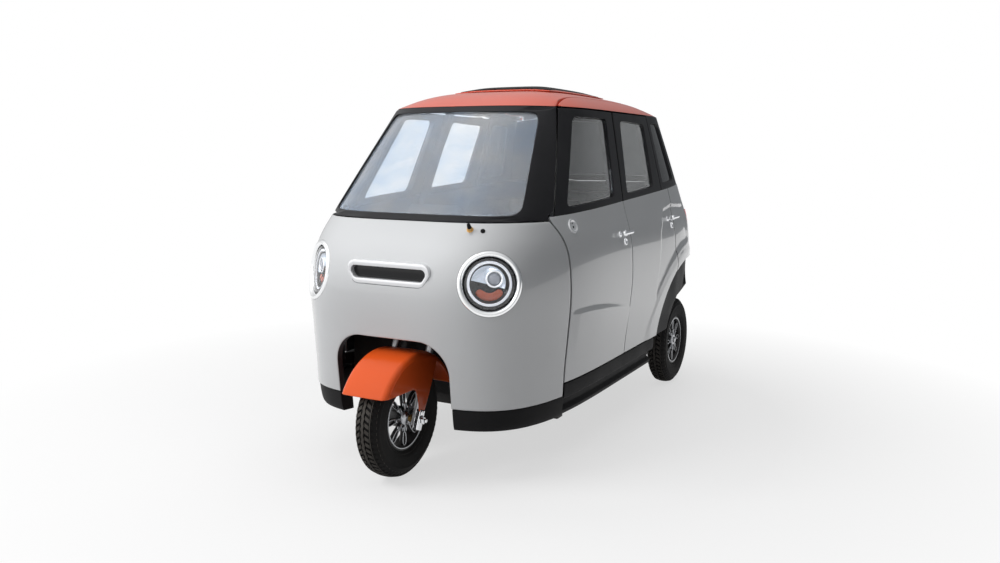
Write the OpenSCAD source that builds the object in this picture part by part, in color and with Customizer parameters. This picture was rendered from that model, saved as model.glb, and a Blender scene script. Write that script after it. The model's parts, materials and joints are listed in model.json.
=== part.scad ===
// Enclosed passenger tricycle, one steered wheel in front and two wheels behind.
// Millimetres, +Z up, the front faces -Y, the vehicle's left side is +X.
// The origin is on the ground at the middle of the outline.

/* [Wheels] */
// Diameter over the tread
tyre_d = 474; // [450:2:490]
// Width of a tyre
tyre_w = 104; // [90:2:116]
// Diameter of the bead seat of the rim
rim_d = 262; // [246:2:280]
// Front axle to rear axle
wheelbase = 1945; // [1900:5:1990]
// Middle of the left rear tyre to the middle of the right one
track = 962; // [930:2:980]
// Lean of the steering axis from upright, in degrees
rake = 22; // [16:1:28]
// Wheel centre ahead of the steering axis
fork_offset = 40; // [20:1:60]

/* [Body] */
// Overall length, front of the front tyre to the rear bumper
overall_l = 2508; // [2480:2:2560]
// Greatest width of the body skin
body_w = 1222; // [1180:2:1260]
// Thickness of the moulded shells
wall_t = 30; // [24:1:36]
// Thickness of a door and of the window frames
door_t = 34; // [28:1:40]
// Shut gap round a door
shut_gap = 8; // [7:0.5:12]
// Joint between two pieces that are fixed together
seat_gap = 0.3; // [0.1:0.1:0.5]
// Thickness of the glass
glass_t = 5; // [4:0.5:8]
// Glass behind the outer skin
glass_in = 9; // [5:1:14]
// Height of the belt line half way along
belt_z = 1060; // [1040:2:1080]
// Rise of the belt line per millimetre towards the rear
belt_rise = 0.05; // [0.03:0.01:0.07]
// Lower edge of the roof
roof_z = 1459; // [1440:1:1480]
// Height of the roof crown over its lower edge
crown = 92; // [70:2:110]
// Rise of the roof's front edge in the middle
front_arch = 46; // [20:2:56]
// Rise of the roof's rear edge in the middle
rear_arch = 26; // [10:2:40]

/* [Openings] */
// Half width of the front wheel arch
arch_half = 262; // [250:2:280]
// Top of the front wheel arch
arch_top = 562; // [545:1:575]
// Corner radius of the front wheel arch
arch_r = 130; // [90:5:160]
// Reach of the rear arch ahead of the rear axle
rear_arch_l = 540; // [500:5:560]
// Height of the rear arch over the axle
rear_arch_h = 475; // [440:5:490]
// Front edge of the front doors
door_front = -670; // [-690:2:-650]
// Line between the front and the rear doors
door_mid = -52; // [-70:2:-30]
// Rear edge of the rear doors
door_rear = 640; // [600:2:660]
// Lower edge of the doors
door_low = 366; // [362:1:380]

/* [Hidden] */
$fn = 48;
tyre_r = tyre_d / 2;
front_y = -overall_l / 2 + tyre_r;
rear_y = front_y + wheelbase;
rear_n = 5;
width_k = body_w / 1222;
length_k = overall_l / 2508;
frame_top = roof_z - shut_gap + 1;
steer_dir = [0, sin(rake), cos(rake)];
steer_pt = [0, front_y + fork_offset * cos(rake), tyre_r - fork_offset * sin(rake)];

// One row per height: z, half width, front reach, rear reach, front roundness
LEVELS = [
    [200, 568, 1044, 1204, 4.4],
    [310, 577, 1056, 1216, 4.3],
    [420, 584, 1070, 1228, 4.1],
    [550, 598, 1084, 1240, 3.9],
    [700, 611, 1091, 1246, 3.8],
    [820, 608, 1075, 1242, 3.8],
    [920, 594, 1034, 1226, 3.8],
    [1020, 566, 955, 1190, 3.8],
    [1200, 522, 790, 1110, 3.8],
    [1460, 455, 545, 985, 3.8],
    [1560, 429, 455, 940, 3.8]
];

function lerp(a, b, t) = a + (b - a) * t;
function flat(v) = [for (r = v) each r];
function steps(n) = [for (k = [0:n]) k / n];

// Smooth curve through one column of the level table
function lv(i, k) = LEVELS[i][k];
function tangent(i, k) =
    let (p = max(0, i - 1), q = min(len(LEVELS) - 1, i + 1))
    (lv(q, k) - lv(p, k)) / (lv(q, 0) - lv(p, 0));
function span(z, i = 0) = i >= len(LEVELS) - 2 || z < lv(i + 1, 0) ? i : span(z, i + 1);
function prof(z, k) =
    let (i = span(z), h = lv(i + 1, 0) - lv(i, 0), t = (z - lv(i, 0)) / h)
    (2 * t * t * t - 3 * t * t + 1) * lv(i, k) + (t * t * t - 2 * t * t + t) * h * tangent(i, k)
    + (3 * t * t - 2 * t * t * t) * lv(i + 1, k) + (t * t * t - t * t) * h * tangent(i + 1, k);
function half_w(z) = prof(z, 1) * width_k;
function ahead(z) = prof(z, 2) * length_k;
function behind(z) = prof(z, 3) * length_k;

// A point of the skin seen at an angle from straight ahead, at a depth behind the skin
function skin(a, z, inset = 0) =
    let (w = half_w(z) - inset, l = (cos(a) > 0 ? ahead(z) : behind(z)) - inset,
        n = cos(a) > 0 ? prof(z, 4) : rear_n,
        r = pow(pow(abs(sin(a)) / w, n) + pow(abs(cos(a)) / l, n), -1 / n))
    [r * sin(a), -r * cos(a), z];
function side_x(y, z) =
    let (n = y < 0 ? prof(z, 4) : rear_n, l = y < 0 ? ahead(z) : behind(z))
    half_w(z) * pow(max(0.0001, 1 - pow(abs(y) / l, n)), 1 / n);
function front_reach(x, z) =
    let (n = prof(z, 4)) ahead(z) * pow(max(0.0001, 1 - pow(abs(x) / half_w(z), n)), 1 / n);
function rear_reach(x, z) =
    behind(z) * pow(max(0.0001, 1 - pow(abs(x) / half_w(z), rear_n)), 1 / rear_n);
function ang_y(y, z) = atan2(side_x(y, z), -y);
function ang_x(x, z) = atan2(x, front_reach(x, z));
function ang_r(x, z) = atan2(-x, -rear_reach(x, z)) + 180;
// mode 0: [y, z] on the left side, 1: [x, z] in front, 2: [-x, z] behind, 3: [angle, z]
function on(mode, q, inset) =
    mode == 0 ? skin(ang_y(q[0], q[1]), q[1], inset)
    : mode == 1 ? let (z = q[1] + lift(q[0], q[1], front_arch)) skin(ang_x(q[0], z), z, inset)
    : mode == 2 ? let (z = q[1] + lift(q[0], q[1], rear_arch))
        skin(180 + atan2(q[0], rear_reach(q[0], z)), z, inset)
    : skin(q[0], q[1], inset);
// Rise of the screens towards the arched edge of the roof
arch_x = 392 * width_k;
function lift(x, z, rise) =
    rise * max(0, 1 - pow(x / arch_x, 2)) * pow(max(0, min(1, (z - 1040) / (roof_z - 1040))), 1.5);
function laid(mode, rows, inset) = [for (r = rows) [for (q = r) on(mode, q, inset)]];
function belt(y) = belt_z + belt_rise * y;

// Rows of points that fill a four sided pane with rounded corners
function pane(bl, br, tr, tl, r, cols) =
    let (h = (tl[1] + tr[1] - bl[1] - br[1]) / 2,
        arc = [for (t = [0, 30, 60, 90]) [r * (1 - cos(t)) / h, r * (1 - sin(t))]],
        mid = [for (k = [1:3]) [lerp(r / h, 1 - r / h, k / 4), 0]],
        all = concat(arc, mid, [for (k = [3:-1:0]) [1 - arc[k][0], arc[k][1]]]))
    [for (e = all)
        let (a = lerp(bl, tl, e[0]) + [e[1], 0], b = lerp(br, tr, e[0]) - [e[1], 0])
        [for (u = steps(cols)) lerp(a, b, u)]];
// The outline of such rows, up the first side, along the top and back along the bottom
function outline(g) =
    let (n = len(g) - 1, m = len(g[0]) - 1)
    concat([for (k = [0:n]) g[k][0]], [for (k = [1:m]) g[n][k]],
        [for (k = [n - 1:-1:0]) g[k][m]], [for (k = [m - 1:-1:1]) g[0][k]]);
function shrink(g, k) =
    let (p = flat(g), c = [for (j = [0, 1]) (max([for (q = p) q[j]]) + min([for (q = p) q[j]])) / 2])
    [for (r = g) [for (q = r) c + (q - c) * k]];
function ring_rows(inner, outer, n) =
    [for (t = steps(n)) [for (k = [0:len(inner) - 1]) lerp(inner[k], outer[k], t)]];

// A sheet with two skins and closed edges, from two grids of the same size
module sheet(o, i, ring = false) {
    rows = len(o);
    cols = len(o[0]);
    n = rows * cols;
    last = ring ? cols - 1 : cols - 2;
    quads = [for (r = [0:rows - 2], c = [0:last])
        let (d = (c + 1) % cols) [r * cols + c, (r + 1) * cols + c, (r + 1) * cols + d, r * cols + d]];
    back = [for (q = quads) [q[3] + n, q[2] + n, q[1] + n, q[0] + n]];
    low = [for (c = [0:last]) let (d = (c + 1) % cols) [c, d, d + n, c + n]];
    top = (rows - 1) * cols;
    high = [for (c = [0:last]) let (d = (c + 1) % cols) [top + d, top + c, top + c + n, top + d + n]];
    first = ring ? [] : [for (r = [0:rows - 2])
        [(r + 1) * cols, r * cols, r * cols + n, (r + 1) * cols + n]];
    end = ring ? [] : [for (r = [0:rows - 2])
        let (a = r * cols + cols - 1, b = a + cols) [a, b, b + n, a + n]];
    polyhedron(points = concat(flat(o), flat(i)), faces = concat(quads, back, low, high, first, end));
}

module plate(mode, rows, d0, d1, ring = false) {
    sheet(laid(mode, rows, d0), laid(mode, rows, d1), ring);
}

module both() {
    children();
    mirror([1, 0, 0])
        children();
}

// A round bar between two points
module bar(p, q, r) {
    d = q - p;
    translate(p)
        rotate([0, acos(d[2] / norm(d)), atan2(d[1], d[0])])
            cylinder(h = norm(d), r = r);
}

// A box from its lowest to its highest corner
module block(p, q) {
    translate(p)
        cube(q - p);
}

// Places its children on the steering axis, +Z up the axis
module on_steer() {
    translate(steer_pt)
        rotate([-rake, 0, 0])
            children();
}

// Chassis
rail_x = 260;
rail_w = 40;
rail_low = 200;
rail_high = 250;
rear_rail = 360;
deck_z = 520;
tow_low = 270;
sill_low = 227;
skirt_low = 223;
sill_x = 568 * width_k - 40;
tub_half = 568 * width_k - 94;
stem_r = 20;
head_play = 0.08;

module chassis_frame() {
    color("#2b2b2d")
    both()
        translate([rail_x + rail_w / 2, 0, 0])
            rotate([90, 0, -90])
                linear_extrude(rail_w)
                    polygon([[740, rail_low], [740, rail_high], [-490, rail_high], [-620, rear_rail + 50],
                        [-1150, rear_rail + 50], [-1150, rear_rail], [-640, rear_rail], [-510, rail_low]]);
}

// Members between the rails, outriggers under the sills, deck bearers on the rails, and the tow eye behind
module cross_members() {
    in = rail_x - rail_w / 2 - seat_gap;
    out = rail_x + rail_w / 2 + seat_gap;
    color("#2b2b2d") {
        for (y = [-664, -150, 300, 400, 470])
            block([-in, y, rail_low], [in, y + 40, rail_high - 4]);
        for (q = [[-664, skirt_low], [-150, sill_low], [300, sill_low]])
            both()
                block([out, q[0], q[1] - seat_gap - 14], [sill_x, q[0] + 50, q[1] - seat_gap]);
        for (y = [680, 1080])
            block([-out, y, rear_rail + 50 + seat_gap], [out, y + 40, deck_z - seat_gap]);
        union() {
            block([-in, 1110, rear_rail], [in, 1150, rear_rail + 50]);
            block([-70, 1140, 378], [70, behind(376) - 40 - seat_gap, 392]);
            block([-20, 1112, tow_low], [20, 1148, rear_rail + 2]);
            difference() {
                block([-25, 1112, tow_low], [25, 1228, tow_low + 14]);
                translate([0, 1200, tow_low - 1])
                    cylinder(h = 16, r = 12);
            }
        }
    }
}

// Head tube on two braces that stand on the chassis rails
module head_tube() {
    color("#2b2b2d")
    difference() {
        union() {
            both()
                bar([rail_x, -720, 225], [36, steer_pt[1] + 530 * sin(rake), steer_pt[2] + 530 * cos(rake)], 16);
            on_steer()
                translate([0, 0, 440])
                    cylinder(h = 150, r = 36);
        }
        on_steer()
            translate([0, 0, 439])
                cylinder(h = 152, r = stem_r + head_play);
        block([-tub_half, -800, 0], [tub_half, -600, rail_high + seat_gap]);
    }
}

module floor_tub() {
    f = rail_high + seat_gap;
    t = 14;
    color("#3a3a3d")
    translate([tub_half, 0, 0])
        rotate([90, 0, -90])
            linear_extrude(2 * tub_half)
                polygon([[690, f], [650, 850], [636, 850], [674, f + t], [-322, f + t], [-322, deck_z + t],
                    [-1000, deck_z + t], [-1000, deck_z], [-336, deck_z], [-336, f]]);
}

// Outer shells
function cowl_z(a) = 1008;
function door_edge(z) = door_front - shut_gap - 50 * pow(max(0, (z - 860) / 150), 2);
nose_low = 310;

// The arch outline and the outer border of the nose, from the right side to the left
function arch_side() = concat(
    [for (k = [0:2]) [arch_half, lerp(nose_low, arch_top - arch_r, k / 3)]],
    [for (k = [0:4]) [arch_half - arch_r * (1 - cos(k * 22.5)), arch_top - arch_r * (1 - sin(k * 22.5))]],
    [for (k = [1:4]) [(arch_half - arch_r) * (1 - k / 4), arch_top]]);
function nose_side() = concat(
    [for (k = [0:6]) let (z = lerp(nose_low, cowl_z(0), k / 6)) [side_x(door_edge(z), z), z]],
    [for (k = [1:5]) [side_x(door_edge(cowl_z(0)), cowl_z(0)) * (1 - k / 5), cowl_z(0)]]);
function whole(s) = concat([for (k = [0:len(s) - 1]) [-s[k][0], s[k][1]]], [for (k = [len(s) - 2:-1:0]) s[k]]);
function to_ang(s) = [for (q = s) [ang_x(q[0], q[1]), q[1]]];
lamp_z = 793;
lamp_a = ang_x(408 * width_k, lamp_z);
lamp_at = skin(lamp_a, lamp_z);
// Outward direction of the lamp axis in plan and its tilt upward
lamp_turn = 32;
lamp_tilt = 4;
bezel_r = 122;
lens_r = 97;

module on_lamp() {
    translate(lamp_at)
        rotate([0, 0, lamp_turn])
            rotate([90 - lamp_tilt, 0, 0])
                children();
}

slot_z = 812;
slot_w = 390;
slot_h = 92;
module slot_shape(w, h, back, ahead) {
    translate([0, -ahead(slot_z) + back, slot_z])
        rotate([90, 0, 0])
            linear_extrude(back + ahead)
                hull() {
                    for (s = [-1, 1])
                        translate([s * (w / 2 - h * 0.45), h * 0.12])
                            circle(r = h * 0.38);
                    for (s = [-1, 1])
                        translate([s * (w / 2 - h * 0.62), -h * 0.12])
                            circle(r = h * 0.38);
                }
}

module nose_shell() {
    rows = ring_rows(to_ang(whole(arch_side())), to_ang(whole(nose_side())), 9);
    color("#c9cbcd")
    resize([0, 0, 0])
    difference() {
        plate(3, rows, 0, wall_t);
        both()
            on_lamp()
                translate([0, 0, -120])
                    cylinder(h = 240, r = (bezel_r + seat_gap) / cos(180 / 40), $fn = 40);
        slot_shape(slot_w + 2 * seat_gap, slot_h + 2 * seat_gap, 90, 90);
    }
}

// Lower black mouldings: depth behind the skin at each height, over a length
module moulding(mode, from_to, steps_n, profile, depth) {
    o = [for (p = profile) [for (u = steps(steps_n)) on(mode, [lerp(from_to[0], from_to[1], u), p[0]], p[1])]];
    i = [for (p = profile) [for (u = steps(steps_n)) on(mode, [lerp(from_to[0], from_to[1], u), p[0]], depth)]];
    sheet(o, i);
}

sill_profile = [[sill_low, 14], [244, 10], [262, 26], [286, 22], [300, 3], [330, 2], [door_low - shut_gap, 5]];
module sills() {
    color("#19191b")
    both()
        moulding(0, [-668, 392], 10, sill_profile, 80);
}

module front_skirts() {
    profile = [[skirt_low, 12], [240, 5], [290, 3], [nose_low - 2 * seat_gap, 3]];
    rows = [for (p = profile) [for (u = steps(8))
        [lerp(ang_x(arch_half + 2, p[0]), ang_y(-668 - 2 * seat_gap, p[0]), u), p[0]]]];
    color("#19191b")
    both()
        sheet([for (k = [0:3]) [for (q = rows[k]) on(3, q, profile[k][1])]], laid(3, rows, 60));
}

// Rear arch: the line on the skin, ahead of the axle and then level round the back
function arch_line(y) =
    let (d = max(0, rear_y - y) / rear_arch_l)
    tyre_r + rear_arch_h * pow(max(0, 1 - pow(d, 2.4)), 1 / 2.4);
function arch_front(z) =
    let (h = max(0, z - tyre_r) / rear_arch_h)
    h >= 1 ? rear_y : rear_y - rear_arch_l * pow(1 - pow(h, 2.4), 1 / 2.4);
function tail_low(y) = y < rear_y ? arch_line(y) : arch_line(rear_y) - 70 * pow((y - rear_y) / 318, 2);
tail_cols = [0, 52, 112, 182, 252, 312, 362];
tail_n = 13;

// Angle of a column of the tail at a height, counted round from the left side to the right
function tail_ang(k, z) =
    let (m = len(tail_cols), last = 2 * m + tail_n - 1, b = ang_y(door_rear + shut_gap + tail_cols[m - 1], z))
    k < m ? ang_y(door_rear + shut_gap + tail_cols[k], z)
    : k > last - m ? 360 - tail_ang(last - k, z)
    : lerp(b, 360 - b, (k - m + 1) / (tail_n + 1));

module tail_shell() {
    rows = [for (v = steps(7)) [for (k = [0:2 * len(tail_cols) + tail_n - 1])
        let (y = skin(tail_ang(k, 800), 800)[1], lo = tail_low(y), hi = belt(min(y, 905)) - seat_gap,
            z = lerp(lo, hi, v)) [tail_ang(k, z), z]]];
    color("#c9cbcd")
    plate(3, rows, 0, wall_t);
}

// The bumper stays between the tyres low down and runs out to the arch trims higher up
function bumper_ang(z) = lerp(162, ang_y(1082, 560), max(0, min(1, (z - 400) / 100)));

module rear_bumper() {
    rows = [for (v = steps(5)) [for (u = steps(14))
        let (b = lerp(bumper_ang(300), 360 - bumper_ang(300), u), z = lerp(300, tail_low(skin(b, 640)[1]) - 1.2, v),
            a = lerp(bumper_ang(z), 360 - bumper_ang(z), u)) [a, lerp(300, tail_low(skin(a, 640)[1]) - 1.6, v)]]];
    extra = overall_l / 2 - behind(560);
    o = [for (r = [0:5]) [for (q = rows[r]) on(3, q, r == 2 || r == 3 ? -extra : 4)]];
    i = laid(3, rows, 40);
    color("#19191b")
    sheet(o, i);
}

// Black trim between the arch line and the tyre
trim_gap = 8;
module arch_trims() {
    z0 = door_low - 2;
    ys = concat([for (k = [0:4]) lerp(arch_front(z0), door_rear, pow(k / 5, 1.25))],
        [for (c = tail_cols) door_rear + shut_gap + c], [1072]);
    line = [for (k = [0:12]) [ys[k], k == 0 ? z0 : tail_low(ys[k])]];
    drop = [for (k = [0:12]) k < 5 ? [trim_gap * 0.4, -trim_gap] : k < 12 ? [0, -2 * seat_gap] : [0, -3]];
    inner = [for (k = steps(12)) let (t = lerp(157, 62, k))
        [rear_y + 300 * cos(t), tyre_r + 300 * sin(t)]];
    rows = [for (v = steps(2)) [for (k = [0:12])
        lerp(inner[k], line[k] + drop[k], v)]];
    color("#19191b")
    both()
        sheet(laid(0, rows, 12), laid(0, rows, 50));
}

// Greenhouse
ws_low = 1008;
function door_frame_front(z) = lerp(-690, -428, (z - belt(-690)) / (frame_top - belt(-690)));
function ws_edge(z) = side_x(z < belt(-690) + 10 ? door_edge(ws_low) : door_frame_front(z) - shut_gap, z);
ws_x = [440 * width_k, 358 * width_k];
ws_pane = pane([-ws_x[0], 1032], [ws_x[0], 1032], [ws_x[1], 1434], [-ws_x[1], 1434], 34, 10);

module windscreen_frame() {
    z = [for (r = ws_pane) lerp(ws_low + seat_gap, roof_z - 1.2, (r[0][1] - 1032) / 402)];
    outer = [for (k = [0:len(z) - 1]) [for (u = steps(10)) [(2 * u - 1) * ws_edge(z[k]), z[k]]]];
    color("#19191b")
    plate(1, ring_rows(outline(ws_pane), outline(outer), 3), 0, door_t, true);
}

module windscreen() {
    color("#9fb4bd")
    plate(1, shrink(ws_pane, 0.999), glass_in, glass_in + glass_t);
}

// Door outlines on the left side
mid_lean = 95;
front_win = pane([-600, belt(-600) + 26], [-146, belt(-146) + 26], [-50, 1420], [-368, 1420], 24, 8);
rear_win = pane([20, belt(20) + 26], [404, belt(404) + 26], [454, 1412], [124, 1420], 24, 8);
front_frame = pane([-690, belt(-690)], [door_mid - shut_gap / 2, belt(door_mid - shut_gap / 2)],
    [door_mid + mid_lean - 10, frame_top], [-428, frame_top], 4, 8);
rear_frame_out = pane([door_mid + shut_gap / 2, belt(door_mid + shut_gap / 2)], [520, belt(520)],
    [520, frame_top], [door_mid + mid_lean + 10, frame_top], 4, 8);
quarter_win = pane([568, belt(568) + 30], [806, belt(806) + 30], [738, 1420], [568, 1420], 24, 6);
quarter_out = pane([520 + shut_gap, belt(528)], [905, belt(905)], [800, roof_z - seat_gap],
    [520 + shut_gap, roof_z - seat_gap], 4, 6);

// Swage of the front doors: a ledge that falls towards the rear and fades out there
swage_edge = [[-700, 636], [-543, 634], [-370, 620], [-158, 592], [21, 565]];
swage_top = [[-700, 648], [-667, 651], [-619, 661], [-468, 659], [-304, 641], [-107, 608], [22, 567]];
swage_out = 10;
swage_foot = 440;
function swage(y) = swage_out * min(1, max(0, (y - door_front - 4) / 60)) * pow(max(0, min(1, (20 - y) / 420)), 0.7);
function front_door_z(k, y) =
    let (e = lookup(y, swage_edge), t = max(e + 3, lookup(y, swage_top)), b = belt(y) - 2 * seat_gap)
    [door_low, swage_foot, lerp(swage_foot, e, 0.5), e, t, lerp(t, b, 0.25), lerp(t, b, 0.5), lerp(t, b, 0.75), b][k];
function front_door_rows() = [for (k = [0:8]) [for (u = steps(9))
    let (zf = min(front_door_z(k, -680), belt(-690) - 18), yf = door_edge(zf) + shut_gap,
        y = lerp(yf, door_mid - shut_gap / 2, u)) [y, front_door_z(k, y)]]];
swage_share = [0, 0.1, 0.55, 1, 0, 0, 0, 0, 0];

function rear_door_rows() = [for (v = steps(10)) [for (u = steps(9))
    let (z = lerp(door_low, belt(300), v), yr = min(door_rear, arch_front(z) - 2),
        y = lerp(door_mid + shut_gap / 2, yr, u)) [y, lerp(door_low, belt(y) - 2 * seat_gap, v)]]];

module door_panel(rows) {
    color("#c9cbcd")
    plate(0, rows, 0, door_t);
}

module window_frame(win, out) {
    color("#19191b")
    plate(0, ring_rows(outline(win), outline(out), 3), 0, door_t, true);
}

module window_pane(win) {
    color("#5a666c")
    plate(0, shrink(win, 0.998), glass_in, glass_in + glass_t);
}

// Pull handle: a round grip with a knob at its front end, on two feet that stand on the door
module pull_handle(y, z, rows) {
    turn = atan2(side_x(y - 44, z) - side_x(y + 44, z), 88);
    lean = atan2(side_x(y, z - 20) - side_x(y, z + 20), 40);
    color("#d7d9db")
    difference() {
        translate([side_x(y, z), y, z])
            rotate([0, 0, turn])
                rotate([0, -lean, 0])
                    union() {
                        translate([24, -46, 0])
                            rotate([-90, 0, 0])
                                cylinder(h = 98, r1 = 10, r2 = 8, $fn = 24);
                        translate([24, -46, 0])
                            sphere(r = 12.5, $fn = 24);
                        for (s = [-1, 1])
                            translate([-12, s * 36, 0])
                                rotate([0, 90, 0])
                                    cylinder(h = 36, r = 7.5, $fn = 24);
                    }
        plate(0, rows, -seat_gap, door_t);
    }
}

module rear_frame() {
    pane_z = [for (r = rear_pane) lerp(belt(905), roof_z - 4.5, (r[0][1] - 1140) / 280)];
    outer = [for (k = [0:len(pane_z) - 1])
        let (z = pane_z[k], x = side_x(lerp(905.6, 800.6, (z - belt(905)) / (roof_z - belt(905))), z))
        [for (u = steps(10)) [(2 * u - 1) * x, z]]];
    color("#19191b")
    plate(2, ring_rows(outline(rear_pane), outline(outer), 3), 0, door_t, true);
}
rear_x = [372 * width_k, 312 * width_k];
rear_pane = pane([-rear_x[0], 1140], [rear_x[0], 1140], [rear_x[1], 1420], [-rear_x[1], 1420], 34, 10);

// Roof
function roof_s(x, y) =
    let (n = y < 0 ? 3.8 : rear_n, l = y < 0 ? ahead(roof_z) : behind(roof_z))
    pow(pow(abs(x) / half_w(roof_z), n) + pow(abs(y) / l, n), 1 / n);
function roof_h(x, y) = roof_z + crown * (1 - pow(min(1, roof_s(x, y)), 3.6));
// Edges of the roof panel over the screens, and its height between them
function roof_edge(x, rise) = roof_z + rise * max(0, 1 - pow(x / arch_x, 2));
function roof_front(x) = -front_reach(x, roof_edge(x, front_arch));
function roof_back(x) = rear_reach(x, roof_edge(x, rear_arch));
function roof_at(x, y) =
    let (v = (y - roof_front(x)) / (roof_back(x) - roof_front(x)),
        f = pow(max(0, 1 - v / 0.45), 2), b = pow(max(0, (v - 0.55) / 0.45), 2))
    roof_h(x, y) + f * (roof_edge(x, front_arch) - roof_h(x, roof_front(x)))
    + b * (roof_edge(x, rear_arch) - roof_h(x, roof_back(x)));
function seam_x(y) = (345 + 50 * pow(abs(y / length_k - 205) / 640, 4)) * width_k;
roof_t = 26;

module roof_panel() {
    cols = steps(12);
    rows = [for (v = steps(12)) [for (u = cols)
        let (x = (2 * u - 1) * seam_x(lerp(-425, 835, v) * length_k)) [x, lerp(roof_front(x), roof_back(x), v)]]];
    o = [for (r = rows) [for (q = r) [q[0], q[1], roof_at(q[0], q[1])]]];
    i = [for (r = rows) [for (q = r)
        [q[0], q[1] * 0.965, max(roof_at(q[0], q[1]) - roof_t, roof_edge(q[0], q[1] < 200 ? front_arch : rear_arch))]]];
    color("#d2492a")
    sheet([for (k = [12:-1:0]) o[k]], [for (k = [12:-1:0]) i[k]]);
}

module roof_rails() {
    ys = [for (v = steps(14)) lerp(-405, 815, v) * length_k];
    rows = [for (t = steps(4)) [for (y = ys)
        let (e = side_x(y, roof_z), s = seam_x(y) + 6) [lerp(e, s, t), y, lerp(e - min(50, (e - s) / 2), s, t)]]];
    o = [for (r = rows) [for (q = r) [q[0], q[1], roof_h(q[0], q[1])]]];
    i = [for (k = [0:4]) [for (q = rows[k])
        [q[2], q[1], max(roof_z, roof_h(q[0], q[1]) - roof_t * (0.6 + 0.1 * k))]]];
    color("#d2492a")
    both()
        sheet(o, i);
}

module roof_hatch() {
    xs = steps(8);
    rows = [for (v = steps(8)) [for (u = xs) [(2 * u - 1) * 245, lerp(470, -170, v)]]];
    rise = function (x, y) 20 - 14 * pow(max(abs(x) / 245, abs(y - 150) / 320), 6);
    color("#d2492a")
    sheet([for (r = rows) [for (q = r) [q[0], q[1], roof_at(q[0], q[1]) + rise(q[0], q[1])]]],
        [for (r = rows) [for (q = r) [q[0], q[1], roof_at(q[0], q[1]) + 0.9]]]);
}

module side_posts() {
    z0 = door_low - shut_gap + seat_gap;
    rows = [for (v = steps(10)) let (z = lerp(z0, roof_z - seat_gap, v),
        y = door_mid + mid_lean * max(0, (z - belt_z) / (roof_z - belt_z))) [[y - 26, z], [y, z], [y + 26, z]]];
    color("#19191b")
    both()
        plate(0, rows, door_t + 7, door_t + 34);
}

// Lamps and nose slot: a point of a lamp by its radius, its turn and its height over the lamp plane
lamp_u = [cos(lamp_turn), sin(lamp_turn), 0];
lamp_w = [sin(lamp_turn) * cos(lamp_tilt), -cos(lamp_turn) * cos(lamp_tilt), sin(lamp_tilt)];
lamp_v = cross(lamp_w, lamp_u);
function lamp_pt(r, t, h) = lamp_at + r * cos(t) * lamp_u + r * sin(t) * lamp_v + h * lamp_w;
function outside(p) =
    let (n = prof(p[2], 4)) pow(abs(p[0]) / half_w(p[2]), n) + pow(abs(p[1]) / ahead(p[2]), n) - 1;
// Height of the skin over the lamp plane, found by halving
function lamp_h(r, t, lo = -60, hi = 20, k = 0) =
    let (m = (lo + hi) / 2) k > 11 ? m
    : outside(lamp_pt(r, t, m)) > 0 ? lamp_h(r, t, lo, m, k + 1) : lamp_h(r, t, m, hi, k + 1);
lamp_turns = [for (k = [0:35]) 10 * k];
bezel_back = -75;

// Rows of a ring round the lamp axis: radius and height over the skin
module lamp_ring(profile) {
    sheet([for (q = profile) [for (t = lamp_turns) lamp_pt(q[0], t, lamp_h(q[0], t) + q[1])]],
        [for (q = profile) [for (t = lamp_turns) lamp_pt(q[0], t, bezel_back)]], true);
}

module headlight_bezels() {
    color("#e4e6e8")
    both()
        lamp_ring([[bezel_r, 2], [bezel_r - 4, 7], [bezel_r - 13, 7], [lens_r / cos(5), -7]]);
}

module headlight_lenses() {
    color("#101113")
    both()
        on_lamp()
            rotate_extrude()
                polygon([[0, bezel_back + 10], [lens_r - seat_gap, bezel_back + 10], [lens_r - seat_gap, -34], [84, -24],
                    [60, -15], [30, -9], [0, -7]]);
}

module slot_frame() {
    color("#d7d9db")
    difference() {
        slot_shape(slot_w, slot_h, 40, 7);
        slot_shape(slot_w - 44, slot_h - 46, 60, 60);
    }
}

module slot_grille() {
    color("#101113")
    slot_shape(slot_w - 44 - 2 * seat_gap, slot_h - 46 - 2 * seat_gap, 36, -14);
}

module taillights() {
    color("#b3201c")
    both()
        plate(3, [for (v = steps(6)) [for (u = steps(8)) [lerp(155, 161.5, u), lerp(760, 960, v)]]], -12, -seat_gap);
}

// Cabin
module dashboard() {
    color("#2a2a2c")
    difference() {
        translate([400, 0, 0])
            rotate([90, 0, -90])
                linear_extrude(800)
                    polygon([[636, 850 + seat_gap], [636, 930], [690, 962], [820, 975], [850, 940], [850, 880],
                        [760, 850 + seat_gap]]);
        block([-80, -790, 800], [80, -600, 1000]);
    }
}

module cushion(p, q, r) {
    d = q - p;
    translate(p)
        minkowski() {
            translate([r, r, r])
                cube([d[0] - 2 * r, d[1] - 2 * r, d[2] - 2 * r]);
            sphere(r = r, $fn = 12);
        }
}

module driver_seat() {
    f = rail_high + seat_gap + 14 + seat_gap;
    color("#232325")
    union() {
        block([-190, -150, f], [190, 190, 470]);
        block([-230, -190, 460], [230, 230, 570]);
        translate([0, 215, 560])
            rotate([-14, 0, 0])
                translate([-222, -45, -20])
                    cube([444, 90, 520]);
    }
}

module rear_bench() {
    f = deck_z + 14 + seat_gap;
    color("#232325")
    union() {
        block([-420, 390, f], [420, 830, f + 110]);
        translate([0, 830, f + 90])
            rotate([-12, 0, 0])
                translate([-420, -45, 0])
                    cube([840, 90, 470]);
    }
}

module battery_box() {
    color("#303236")
    block([-232, 385, rail_high - 4 + seat_gap], [232, 660, 440]);
}

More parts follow.
